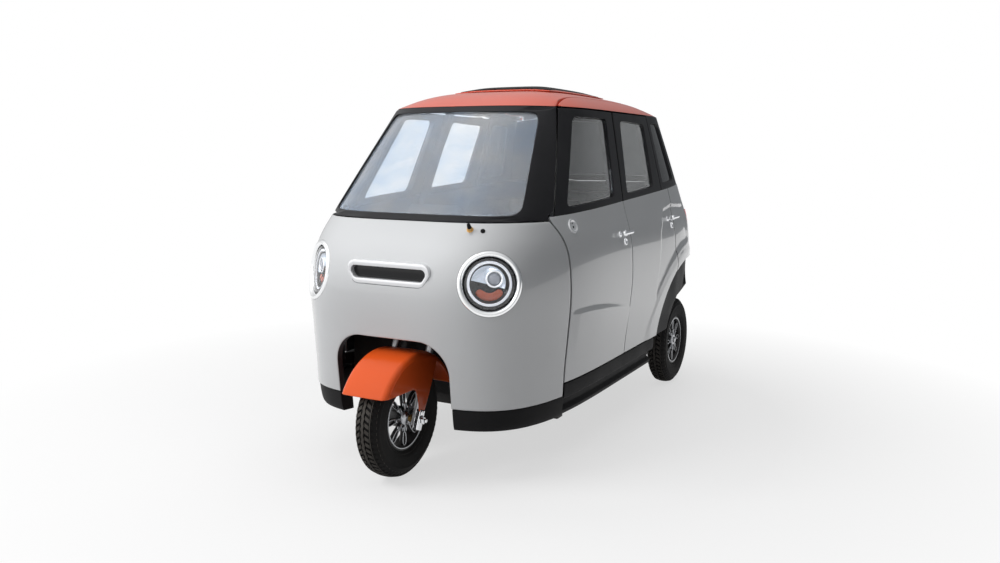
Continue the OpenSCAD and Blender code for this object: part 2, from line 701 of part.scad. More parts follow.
module rear_axle() {
    in = track / 2 - tyre_w / 2;
    color("#3a3b3d")
    union() {
        translate([-in + 30, rear_y, tyre_r])
            rotate([0, 90, 0])
                cylinder(h = 2 * in - 60, r = axle_r);
        translate([-60, rear_y, tyre_r])
            rotate([0, 90, 0])
                cylinder(h = 190, r = 92);
        translate([-170, rear_y, tyre_r])
            rotate([0, 90, 0])
                cylinder(h = 120, r = 80);
        both()
            translate([in - 36, rear_y, tyre_r])
                rotate([0, 90, 0])
                    cylinder(h = 30, r = 84);
        both()
            translate([in - 10, rear_y, tyre_r])
                rotate([0, 90, 0])
                    cylinder(h = 70, r = 14);
    }
}

axle_r = 30;
spring_x = track / 2 - tyre_w / 2 - 94;
module leaf_springs() {
    color("#2b2b2d")
    both()
        union() {
            translate([spring_x, 0, 0])
                rotate([90, 0, -90])
                    linear_extrude(50)
                        polygon([[288 - rear_y, 350], [-rear_y, tyre_r + axle_r + 2 * seat_gap], [-202 - rear_y, 330],
                            [-202 - rear_y, 344], [-rear_y, 290], [288 - rear_y, 364]]);
            block([238, rear_y - 283, 330], [spring_x, rear_y - 253, rear_rail - seat_gap]);
            block([238, rear_y + 167, 326], [spring_x, rear_y + 197, rear_rail - seat_gap]);
        }
}

// Number plate holder with two screw holes
plate_hole_x = 80;
module plate_holder() {
    y0 = behind(700) + seat_gap;
    color("#19191b")
    difference() {
        block([-120, y0, 690], [120, y0 + 5, 790]);
        for (s = [-1, 1])
            translate([s * plate_hole_x, y0 - 1, 745])
                rotate([-90, 0, 0])
                    cylinder(h = 8, r = 3.25);
    }
}

// Steering
leg_x = 82;
module fork() {
    color("#3a3b3d")
    union() {
        on_steer() {
            for (s = [-1, 1])
                translate([s * leg_x, -fork_offset, -26])
                    cylinder(h = 366, r = 17);
            translate([-leg_x - 24, -fork_offset - 24, 310])
                cube([2 * leg_x + 48, fork_offset + 60, 30]);
            translate([0, 0, 312])
                cylinder(h = 488, r = stem_r);
        }
        translate([-leg_x - 30, front_y, tyre_r])
            rotate([0, 90, 0])
                cylinder(h = 2 * leg_x + 60, r = 10);
    }
}

// Fender: a band over the tyre with side plates that run down to the fork ends
fender_r = 268;
fender_x = 106;
fender_lip = 133;
module fender_side() {
    ear = [for (h = [fender_lip, 118, 98, 70, 34]) [h * tan(rake) - 22 - 0.13 * pow(max(0, h - 34), 1.35), h]];
    back = [for (h = [30, 90, 150, 215]) [h * tan(rake) + 16 + 0.08 * h, h]];
    intersection() {
        circle(r = fender_r - 12);
        polygon(concat([[-300, fender_lip], [-120, fender_lip]], ear, back, [[120, 300], [-300, 300]]));
    }
}

module front_fender() {
    color("#f05a14")
    difference() {
        union() {
            translate([0, front_y, tyre_r])
                rotate([0, 90, 0])
                    rotate([0, 0, 110])
                        rotate_extrude(angle = 134)
                            polygon([[fender_r - 26, -fender_x], [fender_r - 12, -fender_x + 1], [fender_r - 4, -fender_x + 10],
                                [fender_r, -fender_x + 26], [fender_r, fender_x - 26], [fender_r - 4, fender_x - 10],
                                [fender_r - 12, fender_x - 1], [fender_r - 26, fender_x], [fender_r - 26, fender_x - 5],
                                [fender_r - 14, fender_x - 7], [fender_r - 8, fender_x - 14], [fender_r - 5, fender_x - 28],
                                [fender_r - 5, 28 - fender_x], [fender_r - 8, 14 - fender_x], [fender_r - 14, 7 - fender_x],
                                [fender_r - 26, 5 - fender_x]]);
            both()
                translate([fender_x - 5, front_y, tyre_r])
                    rotate([90, 0, 90])
                        linear_extrude(5)
                            fender_side();
        }
        block([-200, front_y - 300, tyre_r - 100], [200, front_y - 60, tyre_r + fender_lip]);
        on_steer()
            for (s = [-1, 1])
                translate([s * leg_x, -fork_offset, -26])
                    cylinder(h = 366, r = 18);
    }
}

module handlebar() {
    color("#1d1d1f")
    on_steer()
        translate([0, 0, 800 + seat_gap])
            union() {
                translate([-40, -26, 0])
                    cube([80, 52, 40]);
                translate([-310, 0, 20])
                    rotate([0, 90, 0])
                        cylinder(h = 620, r = 12);
                for (s = [-1, 1])
                    translate([s * 250 - 60, 0, 20])
                        rotate([0, 90, 0])
                            cylinder(h = 120, r = 17);
            }
}

// Wheels, about the X axis at the origin
module tyre() {
    w = tyre_w / 2;
    b = rim_d / 2 + seat_gap;
    color("#1a1a1b")
    rotate([0, 90, 0])
        rotate_extrude()
            polygon([[b, -w + 14], [b + 26, -w + 6], [b + 56, -w], [tyre_r - 26, -w + 3], [tyre_r - 9, -w + 14],
                [tyre_r - 2, -w + 30], [tyre_r, -12], [tyre_r, 12], [tyre_r - 2, w - 30], [tyre_r - 9, w - 14],
                [tyre_r - 26, w - 3], [b + 56, w], [b + 26, w - 6], [b, w - 14]]);
}

module rim(bore, half) {
    w = tyre_w / 2 - 14;
    r = rim_d / 2;
    color("#55585c")
    difference() {
        union() {
            rotate([0, 90, 0])
                rotate_extrude()
                    polygon([[r - 13, -w], [r, -w], [r, w], [r - 13, w], [r - 18, w - 18], [r - 18, -w + 18]]);
            rotate([0, 90, 0])
                cylinder(h = 2 * half, r = 42, center = true);
            for (k = [0:7], s = [-1, 1])
                rotate([45 * k + 7.5 * s, 0, 0])
                    translate([14, -4.5, 30])
                        cube([16, 9, r - 36]);
        }
        rotate([0, 90, 0])
            cylinder(h = 4 * half, r = bore, center = true);
    }
}

module front_left_door() {
    rows = front_door_rows();
    color("#c9cbcd")
    sheet([for (k = [0:8]) [for (q = rows[k]) on(0, q, -swage(q[0]) * swage_share[k])]], laid(0, rows, door_t));
}

module rear_left_door() {
    door_panel(rear_door_rows());
}

chassis_frame();
cross_members();
head_tube();
floor_tub();
nose_shell();
front_skirts();
sills();
tail_shell();
arch_trims();
rear_bumper();
windscreen_frame();
windscreen();
both() window_frame(quarter_win, quarter_out);  // quarter_frames
both() window_pane(quarter_win);  // quarter_glass
rear_frame();
color("#5a666c") plate(2, shrink(rear_pane, 0.999), glass_in, glass_in + glass_t);  // rear_window
roof_panel();
roof_rails();
roof_hatch();
side_posts();
headlight_bezels();
headlight_lenses();
slot_frame();
slot_grille();
taillights();
dashboard();
driver_seat();
rear_bench();
battery_box();
rear_axle();
leaf_springs();
plate_holder();
fork();
front_fender();
handlebar();
translate([0, front_y, tyre_r]) tyre();  // front_tyre
translate([0, front_y, tyre_r]) rim(10.8, 55);  // front_rim
translate([track / 2, rear_y, tyre_r]) tyre();  // left_tyre
translate([track / 2, rear_y, tyre_r]) rim(14.8, 45);  // left_rim
translate([-track / 2, rear_y, tyre_r]) tyre();  // right_tyre
translate([-track / 2, rear_y, tyre_r]) mirror([1, 0, 0]) rim(14.8, 45);  // right_rim
front_left_door();
window_frame(front_win, front_frame);  // front_left_frame
window_pane(front_win);  // front_left_glass
pull_handle(-140, 920, front_door_rows());  // front_left_handle
mirror([1, 0, 0]) front_left_door();  // front_right_door
mirror([1, 0, 0]) window_frame(front_win, front_frame);  // front_right_frame
mirror([1, 0, 0]) window_pane(front_win);  // front_right_glass
mirror([1, 0, 0]) pull_handle(-140, 920, front_door_rows());  // front_right_handle
rear_left_door();
window_frame(rear_win, rear_frame_out);  // rear_left_frame
window_pane(rear_win);  // rear_left_glass
pull_handle(576, 944, rear_door_rows());  // rear_left_handle
mirror([1, 0, 0]) rear_left_door();  // rear_right_door
mirror([1, 0, 0]) window_frame(rear_win, rear_frame_out);  // rear_right_frame
mirror([1, 0, 0]) window_pane(rear_win);  // rear_right_glass
mirror([1, 0, 0]) pull_handle(576, 944, rear_door_rows());  // rear_right_handle
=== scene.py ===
"""Paint, glass, tyres, lamps, seats and trim of the three wheeled car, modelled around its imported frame."""
import json
import math

import bpy
from mathutils import Matrix, Vector

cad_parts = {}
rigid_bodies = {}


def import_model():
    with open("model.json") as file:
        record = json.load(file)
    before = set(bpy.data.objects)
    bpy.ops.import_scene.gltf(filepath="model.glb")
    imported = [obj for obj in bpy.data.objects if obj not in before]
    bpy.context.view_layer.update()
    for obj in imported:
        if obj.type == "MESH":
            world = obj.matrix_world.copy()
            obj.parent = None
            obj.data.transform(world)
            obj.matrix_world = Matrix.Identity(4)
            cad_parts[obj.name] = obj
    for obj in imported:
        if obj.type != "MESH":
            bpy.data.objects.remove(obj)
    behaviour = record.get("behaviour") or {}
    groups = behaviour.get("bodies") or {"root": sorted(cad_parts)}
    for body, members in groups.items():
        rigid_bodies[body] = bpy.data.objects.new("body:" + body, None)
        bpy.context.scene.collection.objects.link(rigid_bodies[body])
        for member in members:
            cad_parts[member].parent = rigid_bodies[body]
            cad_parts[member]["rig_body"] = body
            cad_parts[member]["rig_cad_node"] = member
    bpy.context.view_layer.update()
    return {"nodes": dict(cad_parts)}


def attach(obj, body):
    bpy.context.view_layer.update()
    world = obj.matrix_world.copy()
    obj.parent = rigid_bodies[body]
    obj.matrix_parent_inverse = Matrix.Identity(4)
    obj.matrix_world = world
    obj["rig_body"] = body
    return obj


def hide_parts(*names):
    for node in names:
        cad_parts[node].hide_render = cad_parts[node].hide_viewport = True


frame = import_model()
NODES = frame["nodes"]
WELD, WIDE_WELD, NODE_WELD = 0.00001, 0.00002, 0.00004


# Bench tools
def only(obj):
    """Selects one object and nothing else."""
    bpy.ops.object.select_all(action="DESELECT")
    obj.select_set(True)
    bpy.context.view_layer.objects.active = obj
    return obj


def edit(obj):
    """Opens an object in edit mode with all of it selected."""
    only(obj)
    bpy.ops.object.mode_set(mode="EDIT")
    bpy.ops.mesh.select_all(action="SELECT")


def leave():
    """Closes edit mode."""
    bpy.ops.object.mode_set(mode="OBJECT")
    return bpy.context.object


def named(name):
    """Names what was added last."""
    obj = bpy.context.object
    obj.name = obj.data.name = name
    return obj


def added(name, primitive, **settings):
    """Adds a primitive with nothing else selected."""
    bpy.ops.object.select_all(action="DESELECT")
    primitive(**settings)
    return named(name)


def settle(obj):
    """Moves an object's place into its mesh."""
    only(obj)
    bpy.ops.object.transform_apply(location=True, rotation=True, scale=True)
    return obj


def shape(obj, kind, **settings):
    """Adds a modifier and applies it."""
    only(obj)
    tool = obj.modifiers.new(kind.lower(), kind)
    for key, value in settings.items():
        setattr(tool, key, value)
    bpy.ops.object.modifier_apply(modifier=tool.name)
    return obj


def smooth(obj, degrees=35):
    """Shades smoothly across edges flatter than the angle."""
    only(obj)
    bpy.ops.object.shade_smooth_by_angle(angle=math.radians(degrees))
    return obj


def rounded(obj, width, segments=2, angle=38):
    """Rounds the sharp edges."""
    return shape(obj, "BEVEL", width=width, segments=segments, limit_method="ANGLE",
                 angle_limit=math.radians(angle))


def face_out(obj, weld=None):
    """Points the faces outwards, after points closer than the weld are merged."""
    edit(obj)
    if weld:
        bpy.ops.mesh.remove_doubles(threshold=weld)
    bpy.ops.mesh.normals_make_consistent(inside=False)
    return leave()


def flip(obj):
    """Turns the faces round."""
    edit(obj)
    bpy.ops.mesh.flip_normals()
    return leave()


def cut(obj, cutter):
    """Cuts a tool's shape out of a piece and clears the tool away."""
    shape(obj, "BOOLEAN", object=cutter, operation="DIFFERENCE", solver="EXACT")
    bpy.data.objects.remove(cutter)


def join(name, pieces):
    """Joins pieces into one."""
    only(pieces[0])
    for piece in pieces:
        piece.select_set(True)
    bpy.ops.object.join()
    return named(name)


def pick_faces(obj, test):
    """Opens edit mode with the faces selected whose middle and normal pass the test."""
    only(obj)
    bpy.ops.object.mode_set(mode="EDIT")
    bpy.ops.mesh.select_mode(type="FACE")
    bpy.ops.mesh.select_all(action="DESELECT")
    bpy.ops.object.mode_set(mode="OBJECT")
    for face in obj.data.polygons:
        face.select = bool(test(face.center, face.normal))
    bpy.ops.object.mode_set(mode="EDIT")


def paint_faces(obj, material, test):
    """Gives a second finish to the faces that pass the test."""
    obj.data.materials.append(material)
    index = len(obj.data.materials) - 1
    for face in obj.data.polygons:
        if test(face.center, face.normal):
            face.material_index = index


def copied(node, name):
    """A copy of a frame node, its loose triangles joined and paired into quads."""
    only(NODES[node])
    bpy.ops.object.duplicate()
    obj = named(name)
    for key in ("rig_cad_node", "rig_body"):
        del obj[key]
    obj.parent = None
    bpy.ops.mesh.customdata_custom_splitnormals_clear()
    edit(obj)
    bpy.ops.mesh.remove_doubles(threshold=NODE_WELD)
    bpy.ops.mesh.tris_convert_to_quads(face_threshold=math.radians(40), shape_threshold=math.radians(70))
    leave()
    obj.data.materials.clear()
    return obj


def panel(node, name, edge=0.0035, levels=2):
    """A body panel: the copied node with rounded edges and a smooth skin."""
    obj = rounded(copied(node, name), edge)
    shape(obj, "SUBSURF", levels=levels, render_levels=levels)
    return smooth(obj, 50)


def turned(name, profile, steps=48, at=None):
    """Turns a profile of (radius, height) points about Z and sets it in place."""
    obj = added(name, bpy.ops.mesh.primitive_plane_add, size=0.01)
    edit(obj)
    bpy.ops.mesh.merge(type="CENTER")
    last = (0.0, 0.0)
    for k, point in enumerate(profile):
        move = (point[0] - last[0], 0, point[1] - last[1])
        if k == 0:
            bpy.ops.transform.translate(value=move)
        else:
            bpy.ops.mesh.extrude_vertices_move(TRANSFORM_OT_translate={"value": move})
        last = point
    bpy.ops.mesh.select_all(action="SELECT")
    bpy.ops.mesh.spin(steps=steps, angle=2 * math.pi, center=(0, 0, 0), axis=(0, 0, 1))
    bpy.ops.mesh.select_all(action="SELECT")
    bpy.ops.mesh.remove_doubles(threshold=WELD)
    bpy.ops.mesh.normals_make_consistent(inside=False)
    leave()
    if at is not None:
        obj.matrix_world = at
        settle(obj)
    return obj


def rod(radius, low, high):
    """The profile of a plain rod, to be turned."""
    return [(0, low), (radius, low), (radius, high), (0, high)]


def chamfer_box(name, size, at, edge=0.003, segments=2):
    """A box with rounded edges."""
    obj = added(name, bpy.ops.mesh.primitive_cube_add, size=1)
    obj.scale = size
    settle(obj)
    rounded(obj, edge, segments)
    obj.matrix_world = at if isinstance(at, Matrix) else Matrix.Translation(at)
    return settle(obj)


def mirrored(obj, name):
    """A copy on the other side of the car."""
    only(obj)
    bpy.ops.object.duplicate()
    other = named(name)
    other.scale = (-1, 1, 1)
    settle(other)
    flip(other)
    return other


def dress(obj, material, body, node=None):
    """Gives a piece its finish and the body it moves with, and hides the frame node it stands for."""
    if material is not None:
        obj.data.materials.clear()
        obj.data.materials.append(material)
    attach(obj, body)
    if node:
        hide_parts(node)
    return obj


# Finishes
class Board:
    """A node tree that is being wired."""

    def __init__(self, tree):
        self.tree = tree

    def add(self, kind, sockets=None, **settings):
        node = self.tree.nodes.new(kind if kind.startswith("Node") else "ShaderNode" + kind)
        for key, value in settings.items():
            setattr(node, key, value)
        for key, value in (sockets or {}).items():
            self.join(value, node.inputs[key])
        return node

    def join(self, value, socket):
        if isinstance(value, bpy.types.NodeSocket):
            self.tree.links.new(value, socket)
        else:
            socket.default_value = value

    def mix(self, factor, a, b):
        return self.add("Mix", {0: factor, 6: a, 7: b}, data_type="RGBA").outputs[2]

    def math(self, operation, a, b=0.0):
        return self.add("Math", {0: a, 1: b}, operation=operation).outputs[0]

    def ramp(self, value, low, high, at_low=0.0, at_high=1.0):
        return self.add("MapRange", {0: value, 1: low, 2: high, 3: at_low, 4: at_high}).outputs[0]

    def noise(self, where, scale, detail=2.0, roughness=0.5):
        return self.add("TexNoise", {"Vector": where, "Scale": scale, "Detail": detail,
                                     "Roughness": roughness}).outputs["Fac"]


def effect(name, inputs, outputs):
    """An empty node group with its sockets, and its two ends."""
    tree = bpy.data.node_groups.new(name, "ShaderNodeTree")
    for label, kind, value in inputs:
        socket = tree.interface.new_socket(label, in_out="INPUT", socket_type="NodeSocket" + kind)
        socket.default_value = value
    for label, kind in outputs:
        tree.interface.new_socket(label, in_out="OUTPUT", socket_type="NodeSocket" + kind)
    board = Board(tree)
    return board, board.add("NodeGroupInput").outputs, board.add("NodeGroupOutput").inputs


def make_road_film():
    """Dust that lies thicker low down, in soft patches."""
    board, given, out = effect("road_film", [("Color", "Color", (0.5, 0.5, 0.5, 1)), ("Film", "Float", 0.2),
                                             ("Top", "Float", 0.6), ("Roughness", "Float", 0.3)],
                               [("Color", "Color"), ("Roughness", "Float")])
    where = board.add("TexCoord").outputs["Object"]
    height = board.add("SeparateXYZ", {0: where}).outputs[2]
    fall = board.add("MapRange", {0: height, 1: 0.0, 2: given["Top"], 3: 1.0, 4: 0.0}).outputs[0]
    patch = board.ramp(board.noise(where, 5.0, 6.0, 0.62), 0.38, 0.66, 0.25, 1.0)
    speck = board.ramp(board.noise(where, 160.0, 3.0), 0.45, 0.75, 0.7, 1.0)
    thick = board.math("MULTIPLY", fall, patch)
    mask = board.math("MULTIPLY", thick, board.math("MULTIPLY", speck, given["Film"]))
    board.join(board.mix(mask, given["Color"], (0.27, 0.25, 0.22, 1)), out["Color"])
    board.join(board.math("ADD", given["Roughness"], board.math("MULTIPLY", mask, 0.5)), out["Roughness"])
    return board.tree


def make_moulded_grain():
    """The fine grain of moulded plastic, as a height and as a change of tone."""
    board, given, out = effect("moulded_grain", [("Color", "Color", (0.02, 0.02, 0.02, 1)),
                                                 ("Scale", "Float", 300.0), ("Tone", "Float", 0.2),
                                                 ("Roughness", "Float", 0.5)],
                               [("Color", "Color"), ("Roughness", "Float"), ("Height", "Float")])
    where = board.add("TexCoord").outputs["Object"]
    cells = board.add("TexVoronoi", {"Vector": where, "Scale": given["Scale"]}).outputs["Distance"]
    cloud = board.noise(where, 7.0, 4.0)
    light = board.mix(given["Tone"], given["Color"], (0.1, 0.1, 0.105, 1))
    board.join(board.mix(board.ramp(cloud, 0.3, 0.7), given["Color"], light), out["Color"])
    board.join(board.math("ADD", given["Roughness"], board.ramp(cloud, 0.3, 0.75, -0.06, 0.08)),
               out["Roughness"])
    board.join(board.math("ADD", cells, board.math("MULTIPLY", board.noise(where, 900.0), 0.3)),
               out["Height"])
    return board.tree


def make_flake():
    """The sparkle and faint waviness of sprayed paint."""
    board, given, out = effect("paint_flake", [("Color", "Color", (0.6, 0.6, 0.6, 1)),
                                               ("Flake", "Float", 0.1)],
                               [("Color", "Color"), ("Height", "Float")])
    where = board.add("TexCoord").outputs["Object"]
    sparkle = board.ramp(board.noise(where, 2600.0, 1.0), 0.35, 0.7)
    drift = board.ramp(board.noise(where, 2.2, 2.0), 0.3, 0.7)
    pale = board.mix(given["Flake"], given["Color"], (1, 1, 1, 1))
    deep = board.mix(given["Flake"], given["Color"], (0.02, 0.02, 0.02, 1))
    share = board.math("ADD", board.math("MULTIPLY", sparkle, 0.6), board.math("MULTIPLY", drift, 0.4))
    board.join(board.mix(share, deep, pale), out["Color"])
    board.join(board.noise(where, 140.0, 2.0), out["Height"])
    return board.tree


def make_scuff():
    """Fine rubbed marks, stretched one way."""
    board, given, out = effect("fine_scuff", [("Stretch", "Vector", (1, 1, 1)), ("Scale", "Float", 60.0),
                                              ("Roughness", "Float", 0.3), ("Spread", "Float", 0.1)],
                               [("Roughness", "Float"), ("Height", "Float")])
    where = board.add("VectorMath", {0: board.add("TexCoord").outputs["Object"], 1: given["Stretch"]},
                      operation="MULTIPLY").outputs[0]
    streak = board.noise(where, given["Scale"], 6.0, 0.7)
    change = board.math("MULTIPLY", board.math("SUBTRACT", streak, 0.5), given["Spread"])
    board.join(board.math("ADD", given["Roughness"], change), out["Roughness"])
    board.join(streak, out["Height"])
    return board.tree


ROAD_FILM = make_road_film()
MOULDED_GRAIN = make_moulded_grain()
PAINT_FLAKE = make_flake()
FINE_SCUFF = make_scuff()


def finish(name, **plain):
    """A material with a plain surface shader; plain holds the sockets that are the same all over."""
    material = bpy.data.materials.new(name)
    material.use_nodes = True
    board = Board(material.node_tree)
    shader = material.node_tree.nodes["Principled BSDF"]
    for key, value in plain.items():
        shader.inputs[key.replace("_", " ")].default_value = value
    return material, board, shader.inputs


def use(board, group, **sockets):
    node = board.add("Group", node_tree=group)
    for key, value in sockets.items():
        board.join(value, node.inputs[key])
    return node.outputs


def relief(board, height, normal, strength, distance):
    bump = board.add("Bump", {"Strength": strength, "Distance": distance, "Height": height})
    board.join(bump.outputs[0], normal)


def rgb(red, green, blue):
    return (red, green, blue, 1.0)


def paint(name, color, flake, film=0.0, top=0.5, roughness=0.3, coat=1.0, **plain):
    """Sprayed paint under a clear coat."""
    material, board, face = finish(name, Coat_Weight=coat, Coat_Roughness=0.05, **plain)
    flakes = use(board, PAINT_FLAKE, Color=color, Flake=flake)
    dust = use(board, ROAD_FILM, Color=flakes["Color"], Film=film, Top=top, Roughness=roughness)
    board.join(dust["Color"], face["Base Color"])
    board.join(dust["Roughness"], face["Roughness"])
    relief(board, flakes["Height"], face["Normal"], 0.04, 0.0006)
    return material


def plastic(name, color, grain, roughness, tone=0.2, film=0.0, top=0.5, depth=0.35, **plain):
    """Moulded plastic with its grain and a little dust."""
    material, board, face = finish(name, **plain)
    mould = use(board, MOULDED_GRAIN, Color=color, Scale=grain, Tone=tone, Roughness=roughness)
    dust = use(board, ROAD_FILM, Color=mould["Color"], Film=film, Top=top, Roughness=mould["Roughness"])
    board.join(dust["Color"], face["Base Color"])
    board.join(dust["Roughness"], face["Roughness"])
    relief(board, mould["Height"], face["Normal"], depth, 0.0004)
    return material


def metal(name, color, roughness, stretch=(1, 1, 1), scale=60.0, spread=0.12, depth=0.05, film=0.0,
          **plain):
    """Bare or plated metal with fine marks."""
    material, board, face = finish(name, Metallic=1.0, **plain)
    marks = use(board, FINE_SCUFF, Stretch=stretch, Scale=scale, Roughness=roughness, Spread=spread)
    dust = use(board, ROAD_FILM, Color=color, Film=film, Top=0.6, Roughness=marks["Roughness"])
    board.join(dust["Color"], face["Base Color"])
    board.join(dust["Roughness"], face["Roughness"])
    relief(board, marks["Height"], face["Normal"], depth, 0.0003)
    return material


def glass(name, color, roughness=0.0, **plain):
    """Clear glass or plastic with a trace of wiping marks."""
    material, board, face = finish(name, Base_Color=color, Transmission_Weight=1.0, IOR=1.45, **plain)
    marks = use(board, FINE_SCUFF, Stretch=(1.0, 0.4, 2.0), Scale=9.0, Roughness=roughness, Spread=0.03)
    board.join(marks["Roughness"], face["Roughness"])
    return material


def sky_reflection_glass(name):
    """The windscreen: clear glass whose colour holds a painted reflection of a pale blue cloudy sky."""
    material, board, face = finish(name, Transmission_Weight=0.84, IOR=1.45)
    where = board.add("VectorMath", {0: board.add("TexCoord").outputs["Object"], 1: (1.4, 1.0, 2.2)},
                      operation="MULTIPLY").outputs[0]
    # painted reflection: cloud shapes mix pale blue and white into the glass colour
    reflected_wisps = board.math("MULTIPLY", board.noise(where, 6.0, 7.0, 0.65), 0.35)
    cloud = board.ramp(board.math("ADD", board.noise(where, 1.6, 5.0, 0.6), reflected_wisps), 0.52, 0.86)
    board.join(board.mix(cloud, rgb(0.66, 0.78, 0.94), rgb(0.97, 0.985, 1.0)), face["Base Color"])
    marks = use(board, FINE_SCUFF, Stretch=(1.0, 0.4, 2.0), Scale=9.0, Roughness=0.0, Spread=0.03)
    board.join(marks["Roughness"], face["Roughness"])
    return material


silver = paint("silver_paint", rgb(0.60, 0.612, 0.625), flake=0.06, film=0.12, top=0.75, roughness=0.32,
               coat=0.9, Metallic=0.15)
roof_orange = paint("roof_orange_paint", rgb(0.74, 0.080, 0.026), flake=0.05, roughness=0.34, coat=0.5,
                    Specular_IOR_Level=0.2)
fender_orange = paint("fender_orange_paint", rgb(0.88, 0.105, 0.006), flake=0.02, film=0.08, roughness=0.34,
                      coat=0.3, Specular_IOR_Level=0.15)
frame_black = plastic("satin_black_paint", rgb(0.010, 0.010, 0.012), grain=700, roughness=0.42, tone=0.08,
                      depth=0.08, Specular_IOR_Level=0.22)
trim_black = plastic("moulded_black", rgb(0.007, 0.007, 0.008), grain=420, roughness=0.55, tone=0.08,
                     film=0.06, depth=0.4, Specular_IOR_Level=0.1)
cabin_black = plastic("grained_cabin_plastic", rgb(0.02, 0.02, 0.023), grain=260, roughness=0.6, depth=0.5,
                      Specular_IOR_Level=0.2)
floor_grey = plastic("floor_mat", rgb(0.022, 0.022, 0.024), grain=120, roughness=0.8, tone=0.3, film=0.3,
                     top=0.9, depth=0.8, Specular_IOR_Level=0.1)
chassis_black = plastic("chassis_paint", rgb(0.016, 0.016, 0.018), grain=500, roughness=0.45, tone=0.15,
                        film=0.4, top=0.7, depth=0.1, Specular_IOR_Level=0.2)
battery_plastic = plastic("battery_case", rgb(0.02, 0.021, 0.025), grain=300, roughness=0.5, film=0.3,
                          top=0.6, depth=0.3, Specular_IOR_Level=0.2)
rubber = plastic("tyre_rubber", rgb(0.007, 0.007, 0.0075), grain=380, roughness=0.7, tone=0.15, film=0.12,
                 depth=0.3, Specular_IOR_Level=0.12)
tread_rubber = plastic("dusty_tread", rgb(0.050, 0.046, 0.043), grain=300, roughness=0.85, tone=0.4,
                       film=0.5, top=1.2, depth=0.5, Specular_IOR_Level=0.1)
rim_dark = plastic("rim_dark_paint", rgb(0.014, 0.014, 0.016), grain=900, roughness=0.34, tone=0.1,
                   film=0.15, depth=0.05, Specular_IOR_Level=0.3)
rim_cut = metal("rim_machined_face", rgb(0.46, 0.47, 0.49), roughness=0.26, scale=260.0, spread=0.2,
                depth=0.1, film=0.1)
chrome = metal("chrome_plate", rgb(0.82, 0.83, 0.85), roughness=0.07, scale=30.0, spread=0.05, depth=0.02)
steel = metal("axle_steel", rgb(0.42, 0.42, 0.43), roughness=0.35, stretch=(1, 1, 6), scale=40.0,
              spread=0.25, depth=0.15, film=0.3)
cast_iron = metal("cast_iron", rgb(0.09, 0.09, 0.095), roughness=0.55, scale=120.0, spread=0.3, depth=0.6,
                  film=0.4)
brass = metal("brass", rgb(0.55, 0.33, 0.12), roughness=0.3, scale=80.0, spread=0.2, depth=0.1)
silver_trim = paint("silver_trim_paint", rgb(0.86, 0.87, 0.89), flake=0.02, roughness=0.2, Metallic=0.4)
side_glass = glass("side_glass", rgb(0.93, 0.95, 0.955))
# near black glass: painted shade of the dim cabin seen through the quarter and rear panes
dark_glass = glass("dark_glass", rgb(0.018, 0.019, 0.021))
# windscreen glass with a painted reflection of a cloudy sky in its colour
screen_glass = sky_reflection_glass("screen_glass")
lamp_glass = glass("lamp_cover", rgb(0.97, 0.98, 1.0))
red_lens = glass("red_lens", rgb(0.62, 0.015, 0.012), 0.08)
amber = plastic("amber_lens", rgb(0.42, 0.060, 0.008), grain=900, roughness=0.25, tone=0.0, depth=0.02,
                Coat_Weight=0.4)
lamp_black = plastic("lamp_black", rgb(0.005, 0.005, 0.006), grain=900, roughness=0.22, tone=0.04,
                     depth=0.02, Specular_IOR_Level=0.3)
lamp_mirror = metal("lamp_mirror", rgb(0.62, 0.68, 0.76), roughness=0.12, scale=30.0, spread=0.05,
                    depth=0.02)
bezel_white = metal("polished_bezel", rgb(0.93, 0.94, 0.95), roughness=0.13, scale=30.0, spread=0.05,
                    depth=0.02)
eye_glass = plastic("projector_lens", rgb(0.33, 0.35, 0.40), grain=900, roughness=0.08, tone=0.0,
                    depth=0.01, Coat_Weight=1.0, Coat_Roughness=0.02)
seat_vinyl = plastic("seat_vinyl", rgb(0.014, 0.014, 0.015), grain=240, roughness=0.46, depth=0.5,
                     Specular_IOR_Level=0.3)
led_white = plastic("led_white", rgb(0.86, 0.88, 0.92), grain=900, roughness=0.3, tone=0.0, depth=0.02,
                    Emission_Strength=0.25, Emission_Color=rgb(0.9, 0.94, 1.0))

# The body's form, as in the frame: z, half width, front reach, rear reach, front roundness
LEVELS = (
    (0.200, 0.568, 1.044, 1.204, 4.4), (0.310, 0.577, 1.056, 1.216, 4.3), (0.420, 0.584, 1.070, 1.228, 4.1),
    (0.550, 0.598, 1.084, 1.240, 3.9), (0.700, 0.611, 1.091, 1.246, 3.8), (0.820, 0.608, 1.075, 1.242, 3.8),
    (0.920, 0.594, 1.034, 1.226, 3.8), (1.020, 0.566, 0.955, 1.190, 3.8), (1.200, 0.522, 0.790, 1.110, 3.8),
    (1.460, 0.455, 0.545, 0.985, 3.8), (1.560, 0.429, 0.455, 0.940, 3.8))
REAR_ROUNDNESS = 5.0


def level(z, k):
    """A smooth curve through one column of the level table."""
    i = 0
    while i < len(LEVELS) - 2 and z >= LEVELS[i + 1][0]:
        i += 1

    def slope(j):
        low, high = LEVELS[max(0, j - 1)], LEVELS[min(len(LEVELS) - 1, j + 1)]
        return (high[k] - low[k]) / (high[0] - low[0])

    step = LEVELS[i + 1][0] - LEVELS[i][0]
    t = (z - LEVELS[i][0]) / step
    return ((2 * t ** 3 - 3 * t ** 2 + 1) * LEVELS[i][k] + (t ** 3 - 2 * t ** 2 + t) * step * slope(i)
            + (3 * t ** 2 - 2 * t ** 3) * LEVELS[i + 1][k] + (t ** 3 - t ** 2) * step * slope(i + 1))


